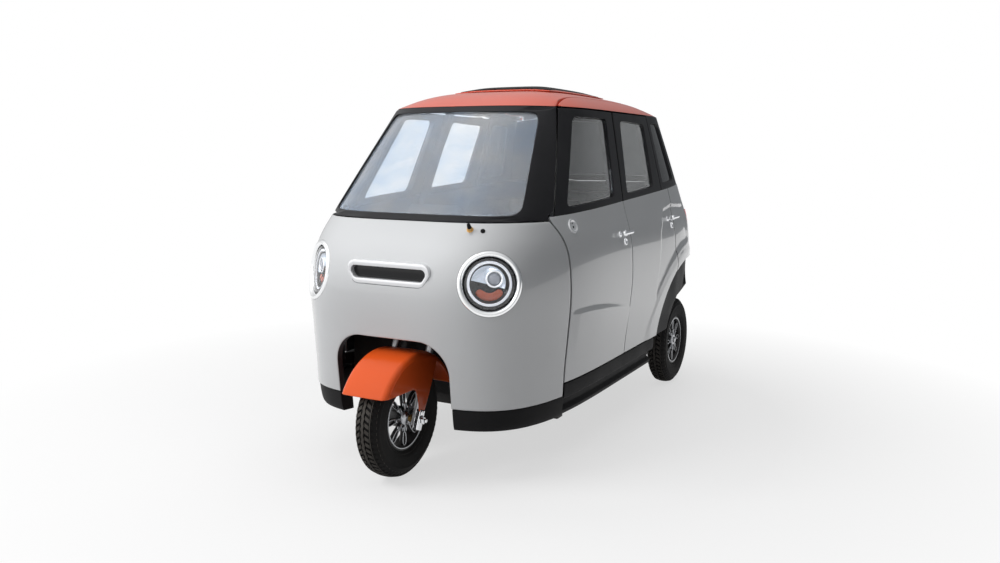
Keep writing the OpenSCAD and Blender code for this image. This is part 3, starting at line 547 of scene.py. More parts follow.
def on_skin(angle, z, inset=0.0):
    """A point of the outer skin: angle in degrees from straight ahead, towards the left side."""
    s, c = math.sin(math.radians(angle)), math.cos(math.radians(angle))
    width = level(z, 1) - inset
    length = level(z, 2 if c > 0 else 3) - inset
    n = level(z, 4) if c > 0 else REAR_ROUNDNESS
    reach = ((abs(s) / width) ** n + (abs(c) / length) ** n) ** (-1 / n)
    return Vector((reach * s, -reach * c, z))


def side_x(y, z):
    n, length = (level(z, 4), level(z, 2)) if y < 0 else (REAR_ROUNDNESS, level(z, 3))
    return level(z, 1) * max(0.0001, 1 - (abs(y) / length) ** n) ** (1 / n)


def front_reach(x, z):
    n = level(z, 4)
    return level(z, 2) * max(0.0001, 1 - (abs(x) / level(z, 1)) ** n) ** (1 / n)


def angle_of_x(x, z):
    return math.degrees(math.atan2(x, front_reach(x, z)))


def skin_normal(y, z):
    """Outward direction of the left side at a place."""
    along = Vector((side_x(y + 0.01, z) - side_x(y - 0.01, z), 0.02, 0))
    up = Vector((side_x(y, z + 0.01) - side_x(y, z - 0.01), 0, 0.02))
    return along.cross(up).normalized()


# Camera, studio and floor
CAMERA_AT, CAMERA_TURN, CAMERA_LENS, SENSOR = (1.928, -3.772, 1.267), (81.64, -0.34, 28.24), 31.49, 36.0
# Softboxes: place, aim, size and watts
SOFTBOXES = (
    ("key_softbox", (-3.0, -4.2, 4.4), (0, -0.4, 0.7), (3.6, 3.0), 225),
    ("top_softbox", (0.2, -0.2, 4.6), (0, 0, 0.7), (4.5, 4.5), 68),
    ("side_softbox", (4.6, -0.6, 2.4), (0, 0.1, 0.6), (3.0, 2.2), 4),
    ("back_softbox", (-1.0, 4.8, 3.0), (0, 0.4, 0.8), (3.6, 2.2), 36))
# The white room: its bright side, its dim side, how much light it sheds, and its glow in shiny things
BRIGHT_SIDE, DIM_SKY, SKY_LIGHT, SKY_GLOW = (-0.55, -0.60, 0.58), (0.22, 0.23, 0.24, 1), 0.28, 0.9
# The floor turns to plain white between two distances, and sheds less light than it shows
FLOOR_NEAR, FLOOR_FAR, FLOOR_WHITE, FLOOR_LIGHT = 1.3, 2.8, 0.62, (0.36, 0.36, 0.365, 1)
WHITE = (1, 1, 1, 1)


def make_studio():
    bpy.ops.object.select_all(action="DESELECT")
    bpy.ops.object.camera_add(location=CAMERA_AT, rotation=[math.radians(turn) for turn in CAMERA_TURN])
    camera = bpy.context.object
    camera.data.sensor_width = SENSOR
    camera.data.lens = CAMERA_LENS
    bpy.context.scene.camera = camera
    bpy.context.scene.view_settings.view_transform = "Standard"

    for name, place, aim, size, power in SOFTBOXES:
        bpy.ops.object.light_add(type="AREA", location=place)
        lamp = bpy.context.object
        lamp.name = name
        lamp.data.shape = "RECTANGLE"
        lamp.data.size, lamp.data.size_y = size
        lamp.data.energy = power
        lamp.visible_glossy = False
        lamp.rotation_euler = (Vector(aim) - Vector(place)).to_track_quat("-Z", "Y").to_euler()

    world = bpy.data.worlds.new("studio_white")
    bpy.context.scene.world = world
    world.use_nodes = True
    board = Board(world.node_tree)
    world.node_tree.nodes.clear()
    rays = board.add("LightPath").outputs
    seen = board.math("MAXIMUM", rays["Is Camera Ray"], rays["Is Transmission Ray"])
    shown = board.math("MAXIMUM", seen, rays["Is Glossy Ray"])
    towards = board.add("VectorMath", {0: board.add("TexCoord").outputs["Generated"], 1: BRIGHT_SIDE},
                        operation="DOT_PRODUCT").outputs["Value"]
    sky = board.mix(board.ramp(towards, -0.45, 0.70), DIM_SKY, WHITE)
    plain = board.mix(seen, sky, WHITE)
    glow = board.math("MULTIPLY", rays["Is Glossy Ray"], board.ramp(towards, 0.62, 0.98, 0.0, SKY_GLOW))
    strength = board.math("ADD", board.ramp(shown, 0, 1, SKY_LIGHT, 1.0), glow)
    back = board.add("Background", {"Color": plain, "Strength": strength})
    board.join(back.outputs[0], board.add("OutputWorld").inputs[0])

    bpy.ops.mesh.primitive_plane_add(size=60)
    floor = named("studio_floor")
    edit(floor)
    bpy.ops.mesh.subdivide(number_cuts=6)
    leave()
    pale, board, face = finish("pale_floor", Roughness=0.7)
    where = board.add("TexCoord").outputs["Object"]
    rays = board.add("LightPath").outputs
    tone = board.mix(board.ramp(board.noise(where, 0.7), 0.3, 0.7), (0.86, 0.86, 0.865, 1),
                     (0.9, 0.9, 0.9, 1))
    board.join(board.mix(rays["Is Diffuse Ray"], tone, FLOOR_LIGHT), face["Base Color"])
    seen = board.math("MAXIMUM", board.math("MAXIMUM", rays["Is Camera Ray"], rays["Is Glossy Ray"]),
                      rays["Is Transmission Ray"])
    away = board.add("VectorMath", {0: where}, operation="LENGTH").outputs["Value"]
    far = board.ramp(away, FLOOR_NEAR, FLOOR_FAR, FLOOR_WHITE, 1.0)
    glow = board.add("Emission", {"Color": WHITE, "Strength": 1.0})
    nodes = pale.node_tree.nodes
    blend = board.add("MixShader",
                      {0: board.math("MULTIPLY", seen, far), 1: nodes["Principled BSDF"].outputs[0],
                       2: glow.outputs[0]})
    board.join(blend.outputs[0], nodes["Material Output"].inputs[0])
    floor.data.materials.append(pale)


make_studio()


# Painted shell
def laid_grid(name, columns, rows, point):
    """A grid of quads whose points are laid on the form; point takes shares of the width and the height."""
    obj = added(name, bpy.ops.mesh.primitive_grid_add, x_subdivisions=columns, y_subdivisions=rows, size=2)
    for corner in obj.data.vertices:
        corner.co = point(corner.co.x / 2 + 0.5, corner.co.y / 2 + 0.5)
    return obj


ARCH_HALF, ARCH_TOP, ARCH_RADIUS, NOSE_LOW, COWL_Z = 0.262, 0.562, 0.130, 0.310, 1.008
TYRE_R, FRONT_Y, REAR_Y, ARCH_REACH, ARCH_RISE = 0.237, -1.017, 0.928, 0.540, 0.475
DOOR_FRONT, DOOR_MID, DOOR_REAR, DOOR_LOW, DOOR_T, SHUT_GAP = -0.670, -0.052, 0.640, 0.366, 0.034, 0.008


def door_edge(z):
    return -0.678 - 0.050 * max(0.0, (z - 0.86) / 0.15) ** 2


def nose_arch(t):
    """The edge of the wheel arch on the left side, t from 0 at its foot to 11 on the middle line."""
    if t < 3:
        return ARCH_HALF, NOSE_LOW + (ARCH_TOP - ARCH_RADIUS - NOSE_LOW) * t / 3
    if t < 7:
        turn = math.radians((t - 3) * 22.5)
        return ARCH_HALF - ARCH_RADIUS * (1 - math.cos(turn)), ARCH_TOP - ARCH_RADIUS * (1 - math.sin(turn))
    return (ARCH_HALF - ARCH_RADIUS) * (1 - (t - 7) / 4), ARCH_TOP


def nose_border(t):
    """The outer edge of the nose, along the door and then along the cowl."""
    if t < 6:
        z = NOSE_LOW + (COWL_Z - NOSE_LOW) * t / 6
        return side_x(door_edge(z), z), z
    return side_x(door_edge(COWL_Z), COWL_Z) * (1 - (t - 6) / 5), COWL_Z


def nose_point(u, v):
    t = 22 * u
    side = -1 if t <= 11 else 1
    t = t if t <= 11 else 22 - t
    inner, outer = nose_arch(t), nose_border(t)
    a = angle_of_x(*inner) * (1 - v) + angle_of_x(*outer) * v
    return on_skin(side * a, inner[1] * (1 - v) + outer[1] * v)


LAMP_Z, LAMP_TURN, LAMP_TILT, BEZEL_R = 0.793, 32.0, 4.0, 0.122
LAMP_POINT = on_skin(angle_of_x(0.408, LAMP_Z), LAMP_Z)


def lamp_place(side):
    """Matrix of a headlight: +Z looks out of the lamp."""
    point = Vector((side * LAMP_POINT.x, LAMP_POINT.y, LAMP_POINT.z))
    return (Matrix.Translation(point) @ Matrix.Rotation(math.radians(side * LAMP_TURN), 4, "Z")
            @ Matrix.Rotation(math.radians(90 - LAMP_TILT), 4, "X"))


SLOT_Z, SLOT_W, SLOT_H, CUT_DEEP = 0.812, 0.390, 0.092, 0.2


def slot_block(name, width, height, front, back):
    """A bar with the rounded outline of the nose slot, between two depths."""
    outline = []
    centres = ((width / 2 - height * 0.62, -height * 0.12, -90, 10),
               (width / 2 - height * 0.45, height * 0.12, 10, 90))
    for x, z, start, end in centres:
        for k in range(8):
            a = math.radians(start + (end - start) * k / 7)
            outline.append((x + height * 0.38 * math.cos(a), z + height * 0.38 * math.sin(a)))
    outline += [(-x, z) for x, z in reversed(outline)]
    obj = added(name, bpy.ops.mesh.primitive_circle_add, vertices=len(outline), radius=width / 2,
                fill_type="NGON")
    for corner, (x, z) in zip(obj.data.vertices, outline):
        corner.co = (x, front, SLOT_Z + z)
    edit(obj)
    bpy.ops.mesh.extrude_region_move(TRANSFORM_OT_translate={"value": (0, back - front, 0)})
    bpy.ops.mesh.select_all(action="SELECT")
    bpy.ops.mesh.normals_make_consistent(inside=False)
    return leave()


def line_inside(obj):
    """Black trim on the faces that look into the cabin."""
    paint_faces(obj, cabin_black, lambda c, n: n.x * c.x + n.y * c.y < -0.1)


def make_nose():
    nose = laid_grid("nose_panel", 132, 40, nose_point)
    face_out(nose, WELD)
    shape(nose, "SOLIDIFY", thickness=0.03, offset=-1.0, use_even_offset=False)
    rounded(nose, 0.004, 3, 50)
    cutters = [turned("lamp_cutter", rod(BEZEL_R, -CUT_DEEP, CUT_DEEP), 72, lamp_place(side))
               for side in (1, -1)]
    front = -level(SLOT_Z, 2)
    cutters.append(slot_block("slot_cutter", SLOT_W, SLOT_H, front - 0.1, front + 0.1))
    for cutter in cutters:
        cut(nose, cutter)
    smooth(nose, 40)
    line_inside(dress(nose, silver, "body", "nose_shell"))
    paint_faces(nose, cabin_black, lambda c, n: abs(c.x) < 0.30 and c.z < 0.60 and n.y > -0.6)


def tail_low(y):
    """Lower edge of the tail: the wheel arch, then level round the back."""
    if y < REAR_Y:
        return TYRE_R + ARCH_RISE * max(0.0, 1 - ((REAR_Y - y) / ARCH_REACH) ** 2.4) ** (1 / 2.4)
    return TYRE_R + ARCH_RISE - 0.070 * ((y - REAR_Y) / 0.318) ** 2


def arch_front(z):
    h = max(0.0, z - TYRE_R) / ARCH_RISE
    return REAR_Y if h >= 1 else REAR_Y - ARCH_REACH * (1 - h ** 2.4) ** (1 / 2.4)


def along(table, at):
    """A value between the points of a table."""
    for (a, low), (b, high) in zip(table, table[1:]):
        if at <= b:
            return low + (high - low) * max(0.0, (at - a) / (b - a))
    return table[-1][1]


def ease(t):
    t = min(1.0, max(0.0, t))
    return t * t * (3 - 2 * t)


def belt(y):
    return 1.060 + 0.05 * y


def on_side(y, z, raise_by=0.0):
    """A point of the left side, raised over the skin."""
    return on_skin(math.degrees(math.atan2(side_x(y, z), -y)), z, -raise_by)


def laid_panel(name, columns, rows, point, thickness, edge=0.004):
    """A body panel: a fine grid on the skin with a thickness behind it and rounded edges."""
    obj = laid_grid(name, columns, rows, point)
    edit(obj)
    bpy.ops.mesh.remove_doubles(threshold=WELD)
    leave()
    middle = obj.data.polygons[len(obj.data.polygons) // 2]
    if middle.normal.dot(Vector((middle.center.x, middle.center.y, 0))) < 0:
        flip(obj)
    shape(obj, "SOLIDIFY", thickness=thickness, offset=-1.0, use_even_offset=False)
    rounded(obj, edge, 3, 50)
    return smooth(obj, 40)


# The swage pressed into the front doors, and the hollow round the rear handles
SWAGE_EDGE = ((-0.700, 0.636), (-0.543, 0.634), (-0.370, 0.620), (-0.158, 0.592), (0.021, 0.565))
SWAGE_TOP = ((-0.700, 0.648), (-0.667, 0.651), (-0.619, 0.661), (-0.468, 0.659), (-0.304, 0.641),
             (-0.107, 0.608), (0.022, 0.567))
SWAGE_FOOT, SWAGE_OUT, SWAGE_START, SWAGE_END = 0.440, 0.010, 0.06, 0.42
HOLLOW_DEEP, FLARE_OUT = 0.008, 0.005
HOLLOW_FRONT = ((0.500, 0.330), (0.720, 0.344), (0.877, 0.382), (0.978, 0.467), (1.030, 0.530))
HOLLOW_TOP = ((0.450, 0.992), (0.487, 0.998), (0.640, 1.014), (0.901, 1.000), (1.000, 0.990))
FLARE = ((0.200, 0.380), (0.298, 0.499), (0.393, 0.606), (0.511, 0.690), (0.640, 0.748), (0.750, 0.778),
         (0.928, 0.792), (1.300, 0.770))
DOOR_ROWS = ((0.0, 0.0), (0.10, 1.0), (0.22, 2.0), (0.42, 3.0), (0.58, 4.0), (0.68, 5.0), (0.79, 6.0),
             (0.89, 7.0), (1.0, 8.0))


def swage_lines(y):
    edge = along(SWAGE_EDGE, y)
    return edge, max(edge + 0.003, along(SWAGE_TOP, y))


def swage_rise(y, z):
    edge, top = swage_lines(y)
    start = min(1.0, max(0.0, (y - DOOR_FRONT - 0.004) / SWAGE_START))
    out = SWAGE_OUT * start * min(1.0, max(0.0, (0.02 - y) / SWAGE_END)) ** 0.7
    if z >= edge:
        return out * ease((top - z) / (top - edge))
    return out * max(0.0, 1 - (edge - z) / (edge - SWAGE_FOOT))


def hollow_rise(y, z):
    hollow = (ease((y - along(HOLLOW_FRONT, z)) / 0.020) * ease((along(HOLLOW_TOP, y) - z) / 0.018)
              * ease((z - along(FLARE, y)) / 0.030) * ease((0.98 - y) / 0.10))
    return FLARE_OUT * ease((along(FLARE, y) - z) / 0.045) * ease((y - 0.22) / 0.08) - HOLLOW_DEEP * hollow


def front_door_point(u, v):
    row = along(DOOR_ROWS, v)

    def height(y):
        edge, top = swage_lines(y)
        high = belt(y) - 0.0006
        rows = (DOOR_LOW, SWAGE_FOOT, (SWAGE_FOOT + edge) / 2, edge, top, top + (high - top) * 0.25,
                top + (high - top) * 0.5, top + (high - top) * 0.75, high)
        k = min(7, int(row))
        return rows[k] + (rows[k + 1] - rows[k]) * (row - k)

    front = door_edge(min(height(-0.680), belt(-0.690) - 0.018)) + SHUT_GAP
    y = front + (DOOR_MID - SHUT_GAP / 2 - front) * u
    z = height(y)
    return on_side(y, z, swage_rise(y, z))


def rear_door_point(u, v):
    back = min(DOOR_REAR, arch_front(DOOR_LOW + (belt(0.3) - DOOR_LOW) * v) - 0.002)
    y = DOOR_MID + SHUT_GAP / 2 + (back - DOOR_MID - SHUT_GAP / 2) * u
    z = DOOR_LOW + (belt(y) - 0.0006 - DOOR_LOW) * v
    return on_side(y, z, hollow_rise(y, z))


def tail_point(u, v):
    """u runs from the left door round the back to the right door."""
    side = 1 if u <= 0.5 else -1
    u = min(u, 1 - u)
    start, turn = DOOR_REAR + SHUT_GAP, 1.010
    y = start + (turn - start) * min(1.0, u / 0.22)
    share = max(0.0, (u - 0.22) / 0.28)

    def angle(z):
        first = math.degrees(math.atan2(side_x(y, z), -y))
        return first + (180 - first) * share

    at = on_skin(angle(0.8), 0.8).y
    z = tail_low(at) + (belt(min(at, 0.905)) - 0.0003 - tail_low(at)) * v
    rise = hollow_rise(at, z) * (1 if share == 0 else ease(1 - share * 4))
    place = on_skin(angle(z), z, -rise)
    return Vector((side * place.x, place.y, place.z))


def make_doors():
    for end, point, columns, rows in (("front", front_door_point, 56, 72),
                                      ("rear", rear_door_point, 60, 64)):
        left = laid_panel(f"{end}_left_door_panel", columns, rows, point, DOOR_T)
        right = mirrored(left, f"{end}_right_door_panel")
        for obj, side in ((left, "left"), (right, "right")):
            line_inside(dress(obj, silver, f"{end}_{side}_door", f"{end}_{side}_door"))
    line_inside(dress(laid_panel("tail_panel", 150, 40, tail_point, 0.030), silver, "body",
                      "tail_shell"))


# The roof's front edge: its height at the sides, its arch in the frame, and how far the middle is let down
ROOF_Z, ROOF_ARCH, ARCH_WIDE, ROOF_DROP, ROOF_BACK = 1.459, 0.046, 0.392, 0.044, 0.970
SCREEN_LOW, DROP_REACH, HATCH_Y, SHEET_RISE = 1.040, 0.45, 0.150, 0.007


def arch_share(x):
    return max(0.0, 1 - (x / ARCH_WIDE) ** 2)


def lower_screen(obj):
    """Lets the upper edge of the screen down to the nearly straight front of the roof, along the skin."""
    for corner in obj.data.vertices:
        x, y, z = corner.co
        top = ROOF_Z + ROOF_ARCH * arch_share(x)
        share = min(1.0, max(0.0, (z - SCREEN_LOW) / (top - SCREEN_LOW))) ** 1.5
        low = z - ROOF_DROP * arch_share(x) * share
        corner.co = (x, y + front_reach(x, z) - front_reach(x, low), low)
    return obj


def lower_roof(obj):
    """Lets the front of the roof down with the screen."""
    for corner in obj.data.vertices:
        x, y, z = corner.co
        edge = ROOF_Z + ROOF_ARCH * arch_share(x)
        drop = ROOF_DROP * arch_share(x)
        front = -front_reach(x, edge)
        share = min(1.0, max(0.0, 1 - (y - front) / (ROOF_BACK - front) / DROP_REACH)) ** 2
        corner.co = (x, y + (front_reach(x, edge) - front_reach(x, edge - drop)) * share, z - drop * share)
    return obj


def make_roof():
    """Roof skin, side rails and hatch, orange outside and lined in black."""
    skin = dress(lower_roof(panel("roof_panel", "roof_skin", 0.004)), roof_orange, "body",
                 "roof_panel")
    rails = dress(panel("roof_rails", "roof_side_rails", 0.004), roof_orange, "body",
                  "roof_rails")
    for obj in (skin, rails):
        paint_faces(obj, cabin_black, lambda c, n: n.z < -0.15)
    sheet = panel("roof_hatch", "hatch_sheet", 0.003)
    for corner in sheet.data.vertices:
        x, y, z = corner.co
        corner.co = (x * 0.92, HATCH_Y + (y - HATCH_Y) * 0.94, z + SHEET_RISE)
    dress(lower_roof(sheet), trim_black, "body")
    dress(lower_roof(panel("roof_hatch", "roof_hatch_lid", 0.004)), roof_orange, "body",
          "roof_hatch")


def make_shell():
    make_nose()
    make_roof()
    make_doors()
    for door in ("front_left", "front_right", "rear_left", "rear_right"):
        for part, edge, material, slot in (("frame", 0.003, frame_black, "black_frame"),
                                           ("glass", 0.001, side_glass, "tinted_glass")):
            node = f"{door}_{part}"
            dress(panel(node, f"{door}_window_{part}", edge), material, f"{door}_door", node)
    for node, name, edge, material, slot in (
            ("windscreen_frame", "windscreen_surround", 0.004, frame_black, "black_frame"),
            ("quarter_frames", "quarter_surrounds", 0.003, frame_black, "black_frame"),
            ("rear_frame", "rear_surround", 0.003, frame_black, "black_frame"),
            ("windscreen", "windscreen_pane", 0.001, screen_glass, "glass"),
            # quarter and rear panes get near black glass as painted shade of the cabin behind them
            ("quarter_glass", "quarter_panes", 0.001, dark_glass, "tinted_glass"),
            ("rear_window", "rear_pane", 0.001, dark_glass, "tinted_glass"),
            ("front_skirts", "front_skirt_mouldings", 0.003, trim_black, "black_trim"),
            ("sills", "sill_mouldings", 0.003, trim_black, "black_trim"),
            ("arch_trims", "rear_arch_mouldings", 0.003, trim_black, "black_trim"),
            ("rear_bumper", "rear_bumper_moulding", 0.003, trim_black, "black_trim")):
        obj = panel(node, name, edge)
        if node.startswith("windscreen"):
            lower_screen(obj)
        dress(obj, material, "body", node)


make_shell()


def make_plain_parts():
    """Pieces whose frame shape is right, with softened edges."""
    for node, material, body, slot, edge in (
            ("chassis_frame", chassis_black, "body", "chassis_paint", 0.003),
            ("cross_members", chassis_black, "body", "chassis_paint", 0.002),
            ("head_tube", chassis_black, "body", "chassis_paint", 0.002),
            ("floor_tub", floor_grey, "body", "cabin_plastic", 0.003),
            ("side_posts", frame_black, "body", "black_frame", 0.003),
            ("slot_frame", silver_trim, "body", "silver_trim", 0.006),
            ("slot_grille", lamp_black, "body", "black_trim", 0.002),
            ("taillights", red_lens, "body", "lamp_red", 0.003),
            ("dashboard", cabin_black, "body", "cabin_plastic", 0.008),
            ("battery_box", battery_plastic, "body", "battery_case", 0.006),
            ("rear_axle", cast_iron, "body", "axle_metal", 0.003),
            ("leaf_springs", cast_iron, "body", "axle_metal", 0.001),
            ("plate_holder", trim_black, "body", "black_trim", 0.001),
            ("fork", steel, "steering", "axle_metal", 0.003),
            ("handlebar", cabin_black, "steering", "cabin_plastic", 0.003)):
        dress(smooth(rounded(copied(node, node + "_dressed"), edge)), material, body, node)


make_plain_parts()

# Front fender: band, lip, side plates; the plates' lower edge as distance behind and height over the axle
FENDER_R, FENDER_X, FENDER_LIP, FENDER_T, SHOULDER, FENDER_REAR = 0.268, 0.106, 0.133, 0.004, 0.026, 70.0
EAR = ((-0.2200, 0.133), (-0.0600, 0.133), (-0.0430, 0.1320), (-0.0330, 0.127), (-0.0260, 0.118),
       (-0.0180, 0.098), (-0.0110, 0.070), (-0.0090, 0.044), (-0.0060, 0.036), (0.0020, 0.031),
       (0.0160, 0.0295), (0.0260, 0.033), (0.0320, 0.042), (0.0600, 0.090), (0.0890, 0.150),
       (0.1200, 0.215))
EAR_COLUMNS = ((0.0, -0.2125), (0.30, -0.048), (0.60, -0.008), (0.84, 0.034), (1.0, 0.120))
RAKE, FORK_OFFSET = math.radians(22), 0.040
LEG_X, LEG_R, LEG_FOOT, LEG_LENGTH = 0.082, 0.0185, -0.026, 0.366
STEER = (Matrix.Translation((0, FRONT_Y + FORK_OFFSET * math.cos(RAKE),
                             TYRE_R - FORK_OFFSET * math.sin(RAKE))) @ Matrix.Rotation(-RAKE, 4, "X"))


def make_fender():
    """The orange band over the tyre, with plates that run down to the fork ends."""
    turn = [math.radians(9 * k) for k in range(11)]
    half = [(FENDER_X, FENDER_R - SHOULDER - 0.002)]
    half += [(FENDER_X - SHOULDER * (1 - math.cos(a)), FENDER_R - SHOULDER * (1 - math.sin(a)))
             for a in turn]
    half += [(0.060, FENDER_R + 0.0010), (0.040, FENDER_R + 0.0016), (0.020, FENDER_R + 0.0019)]
    profile = half + [(0, FENDER_R + 0.002)] + [(-x, r) for x, r in reversed(half)]

    def band_point(u, v):
        x, r = profile[round(v * (len(profile) - 1))]
        front, rear = -math.acos(FENDER_LIP / r), math.radians(FENDER_REAR)
        a = front + (rear - front) * u
        return Vector((x, FRONT_Y + r * math.sin(a), TYRE_R + r * math.cos(a)))

    def plate_point(u, v):
        y = along(EAR_COLUMNS, u)
        low = along(EAR, y)
        high = max(low, math.sqrt((FENDER_R - SHOULDER + 0.008) ** 2 - y * y))
        return Vector((FENDER_X - 0.0004, FRONT_Y + y, TYRE_R + low + (high - low) * v))

    band = laid_grid("fender_band", 96, len(profile) - 1, band_point)
    plate = laid_grid("fender_plate", 110, 22, plate_point)
    for obj, out in ((band, Vector((0, 0, 1))), (plate, Vector((1, 0, 0)))):
        face_out(obj, WIDE_WELD)
        if sum((face.normal for face in obj.data.polygons), Vector()).dot(out) < 0:
            flip(obj)
        shape(obj, "SOLIDIFY", thickness=FENDER_T, offset=-1.0)
        rounded(obj, 0.0014, 2, 50)
    for side in (1, -1):
        cut(band, turned("leg_cutter", rod(LEG_R, 0, LEG_LENGTH), 32,
                         STEER @ Matrix.Translation((side * LEG_X, -FORK_OFFSET, LEG_FOOT))))
    fender = join("front_fender_shell", [band, plate, mirrored(plate, "fender_plate_right")])
    dress(smooth(fender, 40), fender_orange, "steering", "front_fender")


make_fender()

# Wheels, modelled with the outer side towards +X
WHEELS = (("front", (0.0, FRONT_Y, TYRE_R), "front_wheel", 0.055, 1),
          ("left", (0.481, REAR_Y, TYRE_R), "rear_left_wheel", 0.045, 1),
          ("right", (-0.481, REAR_Y, TYRE_R), "rear_right_wheel", 0.045, -1))
TREAD = ((0.0, 0.2370), (0.012, 0.2370), (0.022, 0.2352), (0.030, 0.2325), (0.038, 0.2282), (0.044, 0.2205),
         (0.049, 0.2105))
PITCHES = 58
BARREL = [(0.1175, -0.0380), (0.1300, -0.0380), (0.1311, -0.0345), (0.1300, -0.0300), (0.1240, -0.0240),
          (0.1225, 0.0), (0.1240, 0.0240), (0.1300, 0.0300), (0.1311, 0.0345), (0.1300, 0.0380),
          (0.1190, 0.0380), (0.1165, 0.0340), (0.1135, 0.0280), (0.1128, 0.0120), (0.1128, -0.0200),
          (0.1145, -0.0320), (0.1175, -0.0380)]
RIM_LIP = [(0.1193, 0.0379), (0.1200, 0.0388), (0.1235, 0.0388), (0.1242, 0.0379), (0.1193, 0.0379)]
ON_AXLE = Matrix.Rotation(math.radians(90), 4, "Y")


def tread_block(name, near, far, start, end, slant):
    """One block of the tread between two distances from the middle, over a share of the pitch."""
    obj = added(name, bpy.ops.mesh.primitive_cube_add, size=2)
    pitch = 2 * math.pi / PITCHES
    for corner in obj.data.vertices:
        x = near if corner.co.x < 0 else far
        turn = pitch * ((start if corner.co.y < 0 else end) + slant * (x - near) / (far - near))
        r = along(TREAD, x) - (0.010 if corner.co.z < 0 else 0.0)
        corner.co = (x, -r * math.sin(turn), r * math.cos(turn))
    face_out(obj)
    rounded(obj, 0.0011, 1, 30)
    return spun(obj, PITCHES)


def spun(obj, count):
    """Copies a piece round the X axis."""
    edit(obj)
    bpy.ops.mesh.spin(steps=count, dupli=True, angle=2 * math.pi, center=(0, 0, 0), axis=(1, 0, 0))
    bpy.ops.mesh.select_all(action="SELECT")
    bpy.ops.mesh.remove_doubles(threshold=WIDE_WELD)
    leave()
    return obj


def rib(name, middle, half, zigzag=0.0):
    """A rib of the tread that runs all the way round."""
    top = along(TREAD, abs(middle))
    obj = turned(name, [(top - 0.009, middle - half), (top - 0.001, middle - half),
                        (top, middle - half + 0.001), (top, middle + half - 0.001),
                        (top - 0.001, middle + half), (top - 0.009, middle + half),
                        (top - 0.009, middle - half)], PITCHES * 2, ON_AXLE)
    for corner in obj.data.vertices:
        step = round(math.atan2(corner.co.y, corner.co.z) / (math.pi / PITCHES))
        corner.co.x += zigzag if step % 2 else -zigzag
    return obj


def make_tyre():
    half = [(0.1313, 0.0385), (0.1345, 0.0420), (0.1420, 0.0462), (0.1465, 0.0456), (0.1500, 0.0478),
            (0.1620, 0.0505), (0.1870, 0.0520), (0.1935, 0.0519), (0.1955, 0.0528), (0.1985, 0.0527),
            (0.2005, 0.0512), (0.2105, 0.0482), (0.2150, 0.0445), (0.2215, 0.0385), (0.2260, 0.0300),
            (0.2290, 0.0180), (0.2305, 0.0)]
    profile = [(r, -x) for r, x in half] + [(r, x) for r, x in reversed(half[:-1])] + [(0.1313, -0.0385)]
    pieces = [turned("tyre_carcass", profile, 96, ON_AXLE), rib("tread_middle", 0.0, 0.0062, 0.0018),
              rib("tread_rib_a", 0.0305, 0.0022), rib("tread_rib_b", -0.0305, 0.0022)]
    for side in (1, -1):
        for near, far, start, end, slant in ((0.0105, 0.0275, 0.0, 0.60, 0.45),
                                             (0.0345, 0.0485, 0.30, 0.86, 0.25)):
            block = tread_block("tread_block", near, far, start, end, slant)
            if side < 0:
                block.scale = (-1, 1, 1)
                block.rotation_euler = (math.pi / PITCHES, 0, 0)
                settle(block)
                face_out(block)
            pieces.append(block)
    tyre = smooth(join("tyre_pattern", pieces), 32)
    tyre.data.materials.append(rubber)
    paint_faces(tyre, tread_rubber, lambda c, n: math.hypot(c.y, c.z) > along(TREAD, abs(c.x)) - 0.0030)
    return tyre


def loop(name, middle, length, width, at_x, thick, deep, segments=30):
    """A drop shaped loop of the rim, narrow towards the hub."""
    obj = added(name, bpy.ops.mesh.primitive_torus_add, major_segments=segments, minor_segments=8,
                major_radius=1, minor_radius=0.25)

    def path(a):
        return Vector((0, width * math.sin(a) * (0.62 + 0.38 * math.cos(a)), middle + length * math.cos(a)))

    for k, corner in enumerate(obj.data.vertices):
        a, b = 2 * math.pi * (k // 8) / segments, 2 * math.pi * (k % 8) / 8
        way = (path(a + 0.01) - path(a - 0.01)).normalized()
        out = way.cross(Vector((1, 0, 0)))
        corner.co = path(a) + out * thick * math.cos(b) + Vector((at_x + deep * math.sin(b), 0, 0))
    face_out(obj)
    return spun(obj, 8)


def make_rim(name, half):
    core = [(0, -half + 0.004), (0.034, -half + 0.004), (0.036, -half + 0.008), (0.040, -0.020),
            (0.042, 0.0), (0.042, 0.018), (0.036, 0.022), (0, 0.022)]
    cap = [(0, half - 0.0006), (0.012, half - 0.0006), (0.0155, half - 0.003), (0.0165, half - 0.010),
           (0.0230, 0.036), (0.0285, 0.0340), (0.0300, 0.0310), (0.0300, 0.0220), (0, 0.0220)]
    barrel = turned("barrel", BARREL, 96, ON_AXLE)
    dark = [barrel, loop("spoke", 0.0770, 0.0370, 0.0150, 0.0200, 0.0042, 0.0085),
            turned("hub_core", core, 48, ON_AXLE)]
    bright = [loop("spoke_face", 0.0770, 0.0372, 0.0152, 0.0284, 0.0017, 0.0012),
              loop("hub_petal", 0.0455, 0.0150, 0.0092, 0.0290, 0.0030, 0.0050, 20),
              turned("lip_face", RIM_LIP, 96, ON_AXLE),
              turned("hub_cap", cap, 48, ON_AXLE)]
    return smooth(join(name + "_rim_dark", dark), 40), smooth(join(name + "_rim_bright", bright), 40)


def make_wheels():
    tyre = make_tyre()
    for name, centre, body, half, side in WHEELS:
        only(tyre)
        bpy.ops.object.duplicate()
        pieces = [(named(name + "_tyre_tread"), None, "tyre", name + "_tyre")]
        dark, bright = make_rim(name, half)
        pieces += [(dark, rim_dark, "rim_alloy", name + "_rim"), (bright, rim_cut, "rim_alloy", None)]
        for obj, material, slot, node in pieces:
            obj.matrix_world = Matrix.Translation(centre) @ Matrix.Scale(side, 4, (1, 0, 0))
            settle(obj)
            if side < 0:
                flip(obj)
            dress(obj, material, body, node)
    bpy.data.objects.remove(tyre)


make_wheels()


